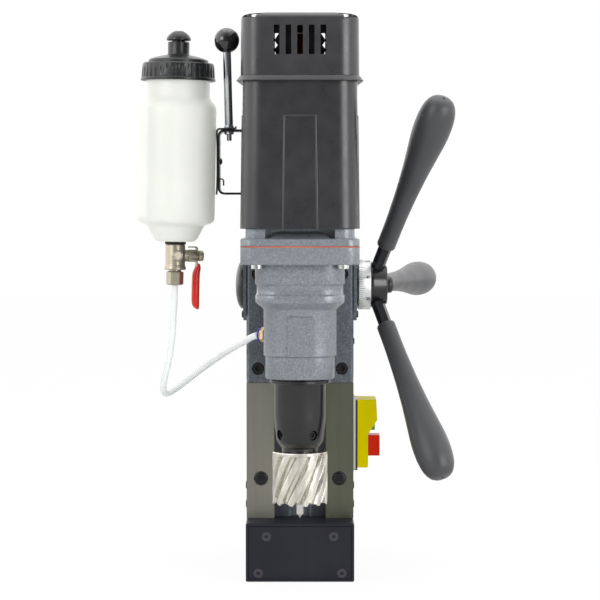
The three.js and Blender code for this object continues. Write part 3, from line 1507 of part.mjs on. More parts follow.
// Assembly
add(drill, "magnet_body", magnetBody(), ...magnetBlack);
add(drill, "magnet_coil", coilRing(seat, coilDepth - seat, coilRecess), ...copperRed);
add(drill, "magnet_front_plate", magnetPlate(), ...magnetBlack);
add(drill, "stand_housing", standHousing(), ...hammerDark);
add(drill, "magnet_power_module", moduleBlock(0, -seat), ...plasticBlack);
add(drill, "stand_rear_cover", rearCover(), ...hammerDark);
add(drill, "carry_handle", carryHandle(), ...plasticBlack);
add(drill, "cable_gland", cableGland(), ...plasticBlack);
add(drill, "guide_rail_left", guideRail(-1), ...railOlive);
add(drill, "guide_rail_right", guideRail(1), ...railOlive);
add(drill, "bearing_flange_left", bearingFlange(-1), ...hammerDark);
add(drill, "bearing_flange_right", bearingFlange(1), ...hammerDark);
add(drill, "shaft_end_cap", shaftEndCap(), ...plasticBlack);
add(drill, "dial_index_ring", indexRing(), ...plasticBlack);
add(drill, "switch_base", switchBase(), ...plasticBlack);
add(drill, "switch_cover", switchCover(), ...yellowPlastic);
add(drill, "stop_button", pushButton(buttonPlaces[0]), ...redPlastic);
add(drill, "start_button", pushButton(buttonPlaces[1]), ...greenPlastic);

const capstanTurn = new THREE.Group();
capstanTurn.rotation.y = Math.PI / 2;
capstan.add(capstanTurn);
add(capstanTurn, "pinion_shaft", pinionShaft(), ...steelGear);
add(capstanTurn, "depth_dial", depthDial(), ...steelBright);
add(capstanTurn, "capstan_hub", capstanHub(), ...steelBlack);
add(capstanTurn, "hub_cap_nut", capNut(), ...plasticBlack);
for (let index = 0; index < handleCount; index += 1) {
  add(capstanTurn, `handle_rod_${index + 1}`, handleRod(index), ...steelBlack);
  add(capstanTurn, `handle_grip_${index + 1}`, handleGrip(index), ...gripGrey);
}

add(carriage, "slide_block", slideBlock(), ...railOlive);
add(carriage, "feed_rack", feedRack(), ...steelGear);
add(carriage, "gearbox_housing", gearboxHousing(), ...hammerLight);
add(carriage, "gearbox_gasket", gasket(), ...gasketRed);
add(carriage, "gearbox_cover", gearboxCover(), ...hammerLight);
add(carriage, "motor_housing", motorHousing(), ...plasticDark);
add(carriage, "motor_flange_ring", motorLip(), ...plasticDark);
add(carriage, "motor_cap", motorCap(), ...plasticDark);
add(carriage, "field_stator", fieldStator(), ...steelGear);
add(carriage, "armature", armature(), ...copperRed);
add(carriage, "cooling_fan", coolingFan(), ...plasticBlack);
add(carriage, "brush_holder_left", brushHolder(-1), ...plasticBlack);
add(carriage, "brush_holder_right", brushHolder(1), ...plasticBlack);
add(carriage, "spindle", spindle(), ...steelGear);
add(carriage, "layshaft", layshaft(), ...steelGear);
add(carriage, "arbor", arbor(), ...steelBlack);
setScrewAngles.forEach((angle, i) => {
  add(carriage, `set_screw_${i + 1}`, setScrew(angle), ...steelBlack);
});
add(carriage, "cutter", cutter(), ...steelBright);
add(carriage, "pilot_pin", pilotPin(), ...steelBright);
add(carriage, "bottle_bracket", bottleBracket(), ...steelBlack);
add(carriage, "ball_rod", ballRod(), ...chromeBright);
add(carriage, "rod_ball", rodBall(), ...plasticBlack);
add(carriage, "coolant_tube", coolantTube(), ...bottleWhite);
add(carriage, "tube_fitting", tubeFitting(), ...brassNickel);
add(carriage, "fitting_collet", fittingCollet(), ...bluePlastic);

add(bottleSet, "coolant_bottle", coolantBottle(), ...bottleWhite);
add(bottleSet, "bottle_cap", bottleCap(), ...plasticBlack);
add(bottleSet, "bottle_spout", bottleSpout(), ...plasticBlack);
add(tapSet, "tap_body", tapBody(), ...brassNickel);
add(tapSet, "tap_lever", tapLever(), ...redVinyl);
add(bottleSet, "compression_nut", compressionNut(), ...brassNickel);

export default drill;
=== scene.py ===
# Magnetic core drill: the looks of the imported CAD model. The pieces are written in millimetres, which MM turns to
# metres
import math

import bmesh
import bpy
from mathutils import Matrix, Vector


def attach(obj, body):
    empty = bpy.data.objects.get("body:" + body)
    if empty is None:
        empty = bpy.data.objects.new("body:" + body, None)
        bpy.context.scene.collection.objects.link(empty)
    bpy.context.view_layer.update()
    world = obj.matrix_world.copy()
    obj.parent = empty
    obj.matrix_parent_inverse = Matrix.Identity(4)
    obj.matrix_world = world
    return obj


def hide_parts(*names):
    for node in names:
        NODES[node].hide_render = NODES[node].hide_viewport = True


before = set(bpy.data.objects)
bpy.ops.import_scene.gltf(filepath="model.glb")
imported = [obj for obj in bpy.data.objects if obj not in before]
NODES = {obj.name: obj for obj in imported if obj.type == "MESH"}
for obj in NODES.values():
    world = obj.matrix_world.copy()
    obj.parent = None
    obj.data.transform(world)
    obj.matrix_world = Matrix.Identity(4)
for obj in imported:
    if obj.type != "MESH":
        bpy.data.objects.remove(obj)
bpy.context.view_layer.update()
scene = bpy.context.scene

MM = 0.001
SMOOTH_ANGLE = 38.0
FRONT, BACK, UP, DOWN = (0, -1, 0), (0, 1, 0), (0, 0, 1), (0, 0, -1)
SIDES = ((-1, "left"), (1, "right"))

# The camera of the photograph: its place in metres, its downward tilt in degrees and its lens
CAMERA_PLACE = (0, -2.135, 0.3517)
CAMERA_TILT = 2.577
CAMERA_LENS = 133.33


def place_camera():
    data = bpy.data.cameras.new("photo_camera")
    data.sensor_width = 36
    data.lens = CAMERA_LENS
    data.clip_end = 50
    camera = bpy.data.objects.new("photo_camera", data)
    camera.location = CAMERA_PLACE
    camera.rotation_euler = (math.radians(90 - CAMERA_TILT), 0, 0)
    scene.collection.objects.link(camera)
    scene.camera = camera


place_camera()


# Materials
def linear(rgb):
    """The linear colour of a colour written as it shows on a screen, from 0 to 255."""
    out = []
    for value in rgb:
        c = value / 255
        out.append(c / 12.92 if c <= 0.04045 else ((c + 0.055) / 1.055) ** 2.4)
    return (*out, 1)


def map_range(tree, source, span, to=(0, 1)):
    """A value that runs through one span, mapped to another."""
    made = tree.nodes.new("ShaderNodeMapRange")
    for key, value in zip(("From Min", "From Max", "To Min", "To Max"), (*span, *to)):
        made.inputs[key].default_value = value
    tree.links.new(source, made.inputs["Value"])
    return made.outputs[0]


class Shader:
    """A principled material whose colour, roughness and bump come from its own nodes."""

    def __init__(self, name, rgb, rough=0.5, metal=0.0, **inputs):
        self.material = bpy.data.materials.new(name)
        self.material.use_nodes = True
        self.tree = self.material.node_tree
        self.bsdf = self.tree.nodes["Principled BSDF"]
        self.rgb = rgb
        self.set("Base Color", linear(rgb))
        self.set("Roughness", rough)
        self.set("Metallic", metal)
        self.place = self.tree.nodes.new("ShaderNodeTexCoord").outputs["Object"]
        self.normal = None
        for key, value in inputs.items():
            self.set(key.replace("_", " ").title().replace("Ior", "IOR"), value)

    def set(self, key, value):
        self.bsdf.inputs[key].default_value = value

    def node(self, kind, **values):
        made = self.tree.nodes.new(kind)
        for key, value in values.items():
            if key in made.inputs:
                made.inputs[key].default_value = value
            else:
                setattr(made, key, value)
        return made

    def link(self, a, b):
        self.tree.links.new(a, b)

    def stretched(self, scale):
        mapping = self.node("ShaderNodeMapping")
        mapping.inputs["Scale"].default_value = scale
        self.link(self.place, mapping.inputs["Vector"])
        return mapping.outputs[0]

    def texture(self, kind, scale, stretch=None, detail=3.0):
        if kind == "noise":
            made = self.node("ShaderNodeTexNoise", Scale=scale, Detail=detail)
            out = made.outputs["Fac"]
        else:
            made = self.node("ShaderNodeTexVoronoi", Scale=scale)
            out = made.outputs["Distance"]
        self.link(self.stretched(stretch) if stretch else self.place, made.inputs["Vector"])
        return out

    def tone(self, rgb, scale, low=0.35, high=0.65, stretch=None, detail=3.0):
        """Blends the base colour towards another over a noise."""
        share = map_range(self.tree, self.texture("noise", scale, stretch, detail), (low, high))
        mix = self.node("ShaderNodeMix", data_type="RGBA")
        self.link(share, mix.inputs["Factor"])
        socket = self.bsdf.inputs["Base Color"]
        if socket.is_linked:
            self.link(socket.links[0].from_socket, mix.inputs["A"])
        else:
            mix.inputs["A"].default_value = linear(self.rgb)
        mix.inputs["B"].default_value = linear(rgb)
        self.link(mix.outputs["Result"], socket)
        return self

    def patina(self, scale, low, high, stretch=None):
        """Roughness that wanders between two values."""
        wander = map_range(self.tree, self.texture("noise", scale, stretch), (0.3, 0.7), (low, high))
        self.link(wander, self.bsdf.inputs["Roughness"])
        return self

    def bump(self, scale, depth_mm, strength=0.5, stretch=None, kind="noise", detail=3.0):
        """Small relief of a given depth."""
        made = self.node("ShaderNodeBump")
        made.inputs["Distance"].default_value = depth_mm * MM
        made.inputs["Strength"].default_value = strength
        self.link(self.texture(kind, scale, stretch, detail), made.inputs["Height"])
        if self.normal:
            self.link(self.normal, made.inputs["Normal"])
        self.normal = made.outputs["Normal"]
        self.link(self.normal, self.bsdf.inputs["Normal"])
        return self

    def edges(self, radius_mm):
        """Rounds the look of sharp edges."""
        made = self.node("ShaderNodeBevel", Radius=radius_mm * MM)
        made.samples = 4
        self.normal = made.outputs["Normal"]
        self.link(self.normal, self.bsdf.inputs["Normal"])
        return self


def hammer(name, base, dark, light):
    """Hammertone paint, speckled dark and light."""
    paint = Shader(name, base, 0.38, 0.25, coat_weight=0.35, coat_roughness=0.18)
    paint.edges(0.8)
    paint.tone(dark, 420, 0.42, 0.6)
    paint.tone(light, 900, 0.56, 0.7, detail=2.0)
    paint.bump(430, 0.5, 0.55, detail=2.0)
    paint.bump(1100, 0.2, 0.35, kind="voronoi")
    paint.patina(300, 0.28, 0.5)
    return paint.material


def plastic(name, rgb, rough, grain=0.08, light=None, **inputs):
    """A grained moulding or coating, in one tone or two."""
    made = Shader(name, rgb, rough, 0.0, **inputs)
    made.edges(0.4)
    if light:
        made.tone(light, 35, 0.3, 0.75, detail=4.0)
    made.bump(2600, grain, 0.4, detail=2.0)
    made.patina(60, rough - 0.06, rough + 0.06)
    return made.material


def steel(name, rgb, rough, stretch, other, metal=1.0, depth=0.05, edge=0.3):
    """Metal in two tones, brushed or turned."""
    made = Shader(name, rgb, rough, metal)
    made.edges(edge)
    made.tone(other, 240, 0.35, 0.7, stretch=stretch)
    made.bump(900, depth, 0.4, stretch=stretch)
    made.patina(500, rough - 0.07, rough + 0.1, stretch)
    return made.material


def clear_plastic(name, rgb, rough, subsurface, glow):
    """A milky plastic that passes some light on, with a painted glow: it also emits its own colour at the given
    strength.
    """
    made = Shader(name, rgb, rough, 0.0, ior=1.46)
    made.set("Subsurface Weight", subsurface)
    made.set("Emission Color", linear(rgb))
    made.set("Emission Strength", glow)
    made.set("Subsurface Radius", (1.0, 1.0, 0.95))
    made.set("Subsurface Scale", 0.012)
    made.tone(tuple(max(0, v - 7) for v in rgb), 18, 0.3, 0.7)
    made.bump(300, 0.05, 0.25)
    made.patina(40, rough - 0.05, rough + 0.06)
    return made.material


# Stretches of the texture for brushed and turned metal
LENGTHWISE = (1.0, 1.0, 0.03)
ROUNDWISE = (0.06, 0.06, 1.0)
MAT = {
    "magnet": plastic("magnet_coating", (32, 33, 40), 0.5, 0.1, (38, 39, 47), specular_ior_level=0.22),
    "magnet_plate": plastic("magnet_plate_coating", (32, 33, 40), 0.5, 0.1, (38, 39, 47), specular_ior_level=0.22),
    "plate_screw": plastic("plate_screw_coating", (62, 60, 65), 0.42, 0.05, specular_ior_level=0.3),
    "coil": steel("winding_resin", (150, 92, 52), 0.5, ROUNDWISE, (110, 62, 34), 0.5),
    # The stand's hammertone is a darker copy of the gearbox's: the shade behind the gearbox is painted into its
    # colour
    "stand": hammer("stand_hammertone_shaded", (94, 101, 108), (80, 87, 94), (120, 127, 134)),
    "gearbox": hammer("gearbox_hammertone", (128, 134, 140), (116, 122, 128), (152, 158, 164)),
    "gasket": plastic("gasket_paper", (186, 80, 50), 0.75, 0.1, (205, 110, 80)),
    # The two rails are one steel: the left one's lighter copy paints the light on it, the right one's darker copy
    # paints its shade
    "rail_left": steel("rail_steel_lit", (142, 141, 131), 0.42, LENGTHWISE, (138, 136, 126), 0.75, 0.02),
    "rail_right": steel("rail_steel_shaded", (100, 103, 89), 0.42, LENGTHWISE, (97, 99, 85), 0.75, 0.02),
    "slide": steel("slide_iron", (74, 76, 84), 0.45, LENGTHWISE, (60, 62, 70), 0.5, 0.03),
    "gear": steel("gear_steel", (150, 152, 156), 0.35, ROUNDWISE, (120, 122, 128)),
    "black": plastic("black_plastic", (30, 31, 33), 0.32, 0.05, (36, 37, 39)),
    "gloss_black": Shader("ball_phenolic", (14, 14, 16), 0.08, 0.0, coat_weight=0.6, coat_roughness=0.03)
    .tone((22, 22, 25), 60).patina(90, 0.06, 0.14).material,
    "dial": steel("dial_aluminium", (226, 228, 228), 0.34, ROUNDWISE, (208, 210, 208), 0.55, 0.02),
    "mark": plastic("dial_mark_paint", (26, 27, 30), 0.6),
    "oxide": Shader("black_oxide", (14, 14, 18), 0.24, 0.1, coat_weight=0.3, coat_roughness=0.1).edges(0.6)
    .tone((12, 12, 16), 60).patina(90, 0.2, 0.28).material,
    "rod_oxide": steel("rod_black_oxide", (42, 43, 46), 0.3, LENGTHWISE, (34, 35, 38), 0.55, 0.02, 0.4),
    "grip": plastic("grip_rubber", (60, 61, 63), 0.42, 0.04, (66, 67, 70), sheen_weight=0.15, sheen_roughness=0.5),
    "motor": plastic("motor_moulding", (37, 37, 40), 0.32, 0.02, (43, 43, 46), specular_ior_level=0.6),
    "motor_cap": plastic("motor_cap_moulding", (46, 46, 49), 0.32, 0.03, (54, 54, 57), specular_ior_level=0.6),
    "cutter": steel("cutter_steel", (222, 219, 209), 0.2, (1.0, 1.0, 0.25), (196, 192, 181), 0.95, 0.03, 0.2),
    "pin": steel("pin_steel", (205, 204, 202), 0.2, LENGTHWISE, (170, 170, 168), 1.0, 0.03, 0.2),
    "chrome": Shader("chrome_plate", (196, 198, 200), 0.09, 1.0).tone((170, 172, 176), 40).patina(80, 0.06, 0.14)
    .material,
    "pale": plastic("pale_switch_strip", (224, 225, 223), 0.5, 0.03),
    "zinc": steel("zinc_screw", (214, 215, 212), 0.25, ROUNDWISE, (184, 186, 184), 0.9, 0.03, 0.2),
    "screw": steel("screw_black", (36, 37, 41), 0.26, ROUNDWISE, (30, 31, 35), 0.5, 0.02, 0.5),
    "nickel": Shader("nickel_brass", (178, 171, 153), 0.38, 0.85).edges(0.7).tone((170, 162, 144), 60)
    .patina(90, 0.34, 0.42).material,
    "brass": steel("fitting_brass", (236, 206, 160), 0.3, ROUNDWISE, (222, 188, 140), 0.5),
    "red": plastic("red_vinyl", (222, 42, 18), 0.24, 0.03, (204, 34, 14), specular_ior_level=0.3, coat_weight=0.25,
                   coat_roughness=0.1),
    "yellow": plastic("yellow_plastic", (253, 235, 0), 0.36, 0.05, (246, 228, 0), specular_ior_level=0.02),
    "stop": plastic("stop_plastic", (222, 46, 24), 0.3, 0.03, (206, 38, 20), specular_ior_level=0.05),
    "start": plastic("start_plastic", (60, 160, 72), 0.3, 0.03, (48, 140, 62)),
    "blue": plastic("collet_blue", (34, 36, 196), 0.3, 0.03, (28, 28, 170)),
    "peach": plastic("fitting_seal", (240, 206, 158), 0.4, 0.03, (226, 190, 140)),
    "dark": plastic("socket_shadow", (9, 9, 11), 0.7, 0.05),
    "copper": steel("commutator_copper", (176, 106, 66), 0.3, LENGTHWISE, (130, 74, 44)),
    # The bottle and the tube glow with their own colour, painted light that keeps their shaded sides bright
    "bottle": clear_plastic("bottle_polythene", (201, 203, 196), 0.38, 0.6, 0.48),
    "tube": clear_plastic("tube_nylon", (230, 234, 233), 0.3, 0.4, 0.13),
}


# Mesh helpers. A part is a pair of vertices and faces. A profile is a list of (radius, height), and a third value,
# "hex", makes that level a hexagon
def outward(mesh):
    """Turns every face outwards."""
    work = bmesh.new()
    work.from_mesh(mesh)
    bmesh.ops.recalc_face_normals(work, faces=work.faces)
    work.to_mesh(mesh)
    work.free()


def smooth_by(mesh, angle):
    """Smooth shading, with a hard edge where two faces meet at more than this angle."""
    work = bmesh.new()
    work.from_mesh(mesh)
    for face in work.faces:
        face.smooth = True
    for edge in work.edges:
        edge.smooth = not (len(edge.link_faces) == 2 and edge.calc_face_angle(0) > math.radians(angle))
    work.to_mesh(mesh)
    work.free()


def make(name, part, body, material, replace=None, slot=None, angle=SMOOTH_ANGLE, matrix=None):
    """A piece that rides on its body. It may stand for a node of the CAD model; its slot argument is not used."""
    mesh = bpy.data.meshes.new(name)
    mesh.from_pydata([(matrix @ Vector(v) if matrix else Vector(v)) * MM for v in part[0]], [], part[1])
    mesh.validate()
    outward(mesh)
    smooth_by(mesh, angle)
    mesh.materials.append(MAT[material])
    piece = bpy.data.objects.new(name, mesh)
    scene.collection.objects.link(piece)
    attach(piece, body)
    if replace:
        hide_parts(replace)
    return piece


def hex_reach(radius, angle):
    """How far a hexagon's side is from its middle in one direction."""
    step = math.pi / 3
    return radius / math.cos((angle + step / 2) % step - step / 2)


def turned(profile, sides=64):
    """Vertices and faces of a profile turned about Z; it starts and ends on the axis or closes on itself."""
    verts, faces, rings = [], [], []
    closed = profile[0][:2] == profile[-1][:2] and profile[0][0] > 0
    for entry in profile[:-1] if closed else profile:
        radius, height = entry[0], entry[1]
        if radius == 0:
            rings.append([len(verts)] * sides)
            verts.append((0, 0, height))
            continue
        rings.append(list(range(len(verts), len(verts) + sides)))
        for i in range(sides):
            angle = 2 * math.pi * i / sides
            reach = hex_reach(radius, angle) if len(entry) > 2 else radius
            verts.append((reach * math.cos(angle), reach * math.sin(angle), height))
    if closed:
        rings.append(rings[0])
    for low, high in zip(rings, rings[1:]):
        for i in range(sides):
            j = (i + 1) % sides
            face = []
            for index in (low[i], low[j], high[j], high[i]):
                if index not in face:
                    face.append(index)
            if len(face) > 2:
                faces.append(face)
    return verts, faces


def lathe(name, profile, body, material, matrix=None, sides=64, **more):
    return make(name, turned(profile, sides), body, material, matrix=matrix, **more)


def square_ring(half, corner, z, steps=8):
    """A square with round corners at one height."""
    ring = []
    for quarter in range(4):
        centre = quarter * math.pi / 2 + math.pi / 4
        reach = (half - corner) * math.sqrt(2)
        for step in range(steps + 1):
            angle = quarter * math.pi / 2 + step / steps * math.pi / 2
            ring.append((reach * math.cos(centre) + corner * math.cos(angle),
                         reach * math.sin(centre) + corner * math.sin(angle), z))
    return ring


def plan(x0, x1, y0, y1, z):
    """A rectangle at one height."""
    return [(x0, y0, z), (x1, y0, z), (x1, y1, z), (x0, y1, z)]


def loft(rings, foot=True):
    """A skin over rings of equal counts, closed at the top and, if wanted, at the foot."""
    verts, faces = [], []
    count = len(rings[0])
    for ring in rings:
        verts.extend(ring)
    for r in range(len(rings) - 1):
        for i in range(count):
            j = (i + 1) % count
            a, b = r * count, (r + 1) * count
            faces.append((a + i, a + j, b + j, b + i))
    if foot:
        faces.append(tuple(range(count - 1, -1, -1)))
    faces.append(tuple(range((len(rings) - 1) * count, len(rings) * count)))
    return verts, faces


def joined(*parts):
    verts, faces = [], []
    for more_verts, more_faces in parts:
        base = len(verts)
        verts.extend(more_verts)
        faces.extend([tuple(base + i for i in face) for face in more_faces])
    return verts, faces


def moved(part, matrix):
    return [tuple(matrix @ Vector(v)) for v in part[0]], part[1]


BOX_FACES = [(0, 1, 3, 2), (4, 6, 7, 5), (0, 4, 5, 1), (2, 3, 7, 6), (0, 2, 6, 4), (1, 5, 7, 3)]


def box(x0, x1, y0, y1, z0, z1):
    return [(x, y, z) for x in (x0, x1) for y in (y0, y1) for z in (z0, z1)], BOX_FACES


def slab(outline, y0, y1):
    """An outline in X and Z, solid between two values of Y."""
    count = len(outline)
    faces = [tuple(range(count)), tuple(range(2 * count - 1, count - 1, -1))]
    faces += [(i, (i + 1) % count, count + (i + 1) % count, count + i) for i in range(count)]
    return [(x, y, z) for y in (y0, y1) for x, z in outline], faces


def stack(levels, steps=8):
    """Square rings one above the other, each given as height, half width and corner."""
    return loft([square_ring(half, corner, z, steps) for z, half, corner in levels])


def carved(piece, *tools):
    """Cuts closed parts out of a piece that rides on its body."""
    for verts, faces in tools:
        mesh = bpy.data.meshes.new("tool")
        mesh.from_pydata([Vector(v) * MM for v in verts], [], faces)
        outward(mesh)
        tool = bpy.data.objects.new("tool", mesh)
        scene.collection.objects.link(tool)
        cutter = piece.modifiers.new("cut", "BOOLEAN")
        cutter.operation = "DIFFERENCE"
        cutter.solver = "EXACT"
        cutter.object = tool
        bpy.context.view_layer.update()
        done = bpy.data.meshes.new_from_object(piece.evaluated_get(bpy.context.evaluated_depsgraph_get()))
        piece.modifiers.clear()
        old = piece.data
        name = old.name
        piece.data = done
        bpy.data.meshes.remove(old)
        done.name = name
        bpy.data.objects.remove(tool)
        bpy.data.meshes.remove(mesh)
    smooth_by(piece.data, SMOOTH_ANGLE)


def axis_matrix(origin, axis, spin=0.0):
    """Z of the local frame along axis, at origin."""
    turn = Vector((0, 0, 1)).rotation_difference(Vector(axis).normalized()).to_matrix().to_4x4()
    return Matrix.Translation(Vector(origin)) @ turn @ Matrix.Rotation(spin, 4, "Z")


# The main axes and the frames that stand on them. Z of the capstan's frame runs along its shaft, and the bore that
# crosses the tap lies TAP_AXIS below the bottle's foot
SPINDLE_Y = -135
SHAFT_Y, SHAFT_Z = -40, 272
TAP_AXIS = 12.8
SPINDLE = Matrix.Translation((0, SPINDLE_Y, 0))
CAPSTAN = Matrix.Translation((0, SHAFT_Y, SHAFT_Z)) @ Matrix.Rotation(math.pi / 2, 4, "Y")
BOTTLE = Matrix.Translation((-114.0167, -100, 313.7)) @ Matrix.Rotation(math.radians(1.1), 4, "Y")
TAP = BOTTLE @ Matrix.Rotation(math.radians(18), 4, "Z")
TAP_CROSS = Matrix.Translation((0, 0, -TAP_AXIS)) @ Matrix.Rotation(math.pi / 2, 4, "Y")
ROD = Matrix.Translation((-64.389, -112.5, 415.6)) @ Matrix.Rotation(math.radians(-1.5), 4, "Y")

# The coolant tube and the route of the CAD tube, in metres
ROUTE = [
    (-0.11471, -0.1, 0.2776), (-0.1149, -0.1, 0.268), (-0.1151, -0.1, 0.26), (-0.116, -0.0998, 0.2473),
    (-0.117, -0.0992, 0.2308), (-0.1189, -0.0982, 0.215), (-0.1217, -0.0956, 0.2008),
    (-0.1248, -0.0904, 0.1882), (-0.1266, -0.0818, 0.1782), (-0.126, -0.0706, 0.1722),
    (-0.1224, -0.0588, 0.1714), (-0.1164, -0.0492, 0.1746), (-0.1084, -0.0432, 0.1804),
    (-0.0988, -0.0416, 0.1878), (-0.0884, -0.0446, 0.1958), (-0.0778, -0.0522, 0.2036),
    (-0.0676, -0.0642, 0.2108), (-0.0584, -0.079, 0.217), (-0.0504, -0.094, 0.222), (-0.044, -0.1072, 0.2264),
    (-0.038, -0.1172, 0.2292),
]


def coolant_tube():
    curve = bpy.data.curves.new("coolant_hose", "CURVE")
    curve.dimensions = "3D"
    curve.bevel_depth = 0.003
    curve.bevel_resolution = 6
    curve.use_fill_caps = True
    curve.resolution_u = 8
    line = curve.splines.new("BEZIER")
    line.bezier_points.add(len(ROUTE) - 1)
    for point, place in zip(line.bezier_points, ROUTE):
        point.co = place
        point.handle_left_type = "AUTO"
        point.handle_right_type = "AUTO"
    curve.materials.append(MAT["tube"])
    hose = bpy.data.objects.new("coolant_hose", curve)
    scene.collection.objects.link(hose)
    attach(hose, "carriage")
    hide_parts("coolant_tube")


coolant_tube()


# Screws and their like. Each socket is turned a little from square
SOCKET_TURN = 0.2


def socket_head(name, origin, axis, radius, height, socket, body, material="screw", dome=0.0):
    """A head that stands height proud of origin, with a hexagon socket in its face and a near-black disc inside the
    socket that paints its shade.
    """
    place = axis_matrix(origin, axis, SOCKET_TURN)
    edge = min(0.5, height / 3)
    profile = [
        (0, height - socket * 0.9), (socket, height - socket * 0.9, "hex"), (socket, height + dome * 0.6, "hex"),
        (radius * 0.75, height + dome * 0.35), (radius - edge, height), (radius, height - edge), (radius, -0.4),
        (0, -0.4),
    ]
    head = lathe(name, profile, body, material, place, sides=36)
    pit = [(0, height - socket * 0.85), (socket * 0.98, height - socket * 0.85, "hex"),
           (socket * 0.98, height - socket * 0.75, "hex"), (0, height - socket * 0.75)]
    lathe(name + "_pit", pit, body, "dark", place, sides=36)
    return head


def recess_ring(name, origin, axis, outer, inner, depth, body, material):
    """The wall of a round recess."""
    profile = [(inner, -depth), (outer, -depth), (outer, 0.08), (inner + 0.3, 0.08), (inner, -0.2), (inner, -depth)]
    lathe(name, profile, body, material, axis_matrix(origin, axis), sides=48)


def cad_finish(material, *nodes):
    """Gives nodes of the CAD model another material."""
    for node in nodes:
        materials = NODES[node].data.materials
        materials.clear()
        materials.append(MAT[material])


def corners(reach):
    """The corners of a square about the spindle, with a word for each."""
    for x in (-reach, reach):
        for y in (-reach, reach):
            yield x, y, f"{'left' if x < 0 else 'right'}_{'front' if y < 0 else 'back'}"


# Stand
def stand():
    cad_finish("magnet", "magnet_body")
    cad_finish("magnet_plate", "magnet_front_plate")
    cad_finish("coil", "magnet_coil")
    cad_finish("stand", "stand_housing", "stand_rear_cover", "bearing_flange_left", "bearing_flange_right")
    cad_finish("black", "carry_handle", "cable_gland", "switch_base", "magnet_power_module", "dial_index_ring")
    cad_finish("rail_left", "guide_rail_left")
    cad_finish("rail_right", "guide_rail_right")
    cad_finish("yellow", "switch_cover")
    cad_finish("stop", "stop_button")
    cad_finish("start", "start_button")
    # Thin strips in the slide's dark iron cover the recessed front between the rails, painting its shade
    strips = [box(*sorted((side * 10.6, side * 30.4)), -53.15, -52.9, 54.2, 240) for side in (-1, 1)]
    make("between_rails_shade_strips", joined(*strips), "stand", "slide")
    # A pale plate behind the switch gives the bright strip between the right rail and the switch
    make("switch_back_plate", box(50, 52.2, -56.2, -11.8, 98.7, 165.5), "stand", "pale")
    for side, word in SIDES:
        for x, z, tag in ((31, 42, "upper"), (38.5, 8, "lower")):
            socket_head(f"plate_screw_{tag}_{word}", (side * x, -100.6, z), FRONT, 4.4, 0.35, 1.5, "stand",
                        "plate_screw")
        rail = (side * 36.5, -65, 91.5)
        place = axis_matrix(rail, FRONT, SOCKET_TURN)
        recess_ring(f"rail_screw_seat_{word}", rail, FRONT, 6.7, 5.9, 1.5, "stand", "screw")
        lathe(f"rail_screw_{word}", [
            (0, 0.15), (2.5, 0.15, "hex"), (2.5, 0.72, "hex"), (4.4, 0.72), (5.4, 0.6), (5.9, 0.2), (5.9, -0.3),
            (0, -0.3)], "stand", "screw", place, sides=36)
        # A near-black disc in the socket paints its shade
        lathe(f"rail_screw_{word}_pit", [(0, 0.17), (2.45, 0.17, "hex"), (2.45, 0.3, "hex"), (0, 0.3)], "stand",
              "dark", place, sides=36)
        for z, tag in ((194.5, "lower"), (283.0, "upper")):
            seat = (side * 39, -66, z)
            recess_ring(f"housing_screw_seat_{tag}_{word}", seat, FRONT, 6.7, 5.7, 2.9, "stand", "stand")
            socket_head(f"housing_screw_{tag}_{word}", (side * 39, -63.4, z), FRONT, 5.5, 1.6, 2.6, "stand")
        for y, depth_word in ((-60, "front"), (-20, "back")):
            for z, tag in ((245, "low"), (299, "high")):
                socket_head(f"flange_screw_{word}_{depth_word}_{tag}", (side * 53, y, z), (side, 0, 0), 3.2, 1.4,
                            1.5, "stand")
        for z, tag in ((63, "low"), (81, "mid")):
            socket_head(f"side_screw_{tag}_{word}", (side * 50, -30, z), (side, 0, 0), 3.6, 1.5, 1.5, "stand")
        socket_head(f"side_screw_top_{word}", (side * 50, -45, 219), (side, 0, 0), 3.0, 1.3, 1.4, "stand")
        for z, tag in ((79, "low"), (236, "high")):
            socket_head(f"cover_screw_{word}_{tag}", (side * 33, 78, z), BACK, 3.4, 1.2, 1.6, "stand")


# Capstan: dial with its marks, hub, cap nut, rods and grips
DIAL_RADIUS = 23.36
DIAL_MARKS = 70


def dial_angle(value):
    """The mark for 40 stands 19 degrees above the front."""
    return math.radians(19 + (value - 40) * 360 / DIAL_MARKS)


def on_dial(x, turn, reach=DIAL_RADIUS):
    return x, SHAFT_Y - reach * math.cos(turn), SHAFT_Z + reach * math.sin(turn)


def dial_marks():
    parts = []
    for value in range(DIAL_MARKS):
        length, width = (5.9, 0.17) if value % 5 == 0 else (3.6, 0.13)
        angle, half = dial_angle(value), width / DIAL_RADIUS
        verts = [on_dial(x, turn, reach) for x in (55.15, 55.15 + length) for turn in (angle - half, angle + half)
                 for reach in (DIAL_RADIUS - 0.08, DIAL_RADIUS)]
        parts.append((verts, BOX_FACES))
    for value in range(0, DIAL_MARKS, 10):
        text = bpy.data.curves.new("number", "FONT")
        text.body = str(value)
        text.size = 4.3
        text.offset = 0.09
        text.align_x = "CENTER"
        text.align_y = "CENTER"
        holder = bpy.data.objects.new("number", text)
        scene.collection.objects.link(holder)
        bpy.context.view_layer.update()
        flat = bpy.data.meshes.new_from_object(holder.evaluated_get(bpy.context.evaluated_depsgraph_get()))
        verts = [on_dial(63.6 + vertex.co.x, dial_angle(value) + vertex.co.y / DIAL_RADIUS)
                 for vertex in flat.vertices]
        parts.append((verts, [tuple(polygon.vertices) for polygon in flat.polygons]))
        bpy.data.objects.remove(holder)
        bpy.data.curves.remove(text)
        bpy.data.meshes.remove(flat)
    make("dial_marks", joined(*parts), "capstan", "mark")


# The arms leave the hub's middle and lean outwards, by degrees
HUB_MIDDLE = 66.7
ARM_LEAN = 17.5


def handle_place(index):
    turn = Matrix.Rotation(math.pi / 2 + index * 2 * math.pi / 3, 4, "Z")
    lean = Matrix.Rotation(math.pi / 2 - math.radians(ARM_LEAN), 4, "Y")
    return CAPSTAN @ turn @ Matrix.Translation((0, 0, HUB_MIDDLE)) @ lean


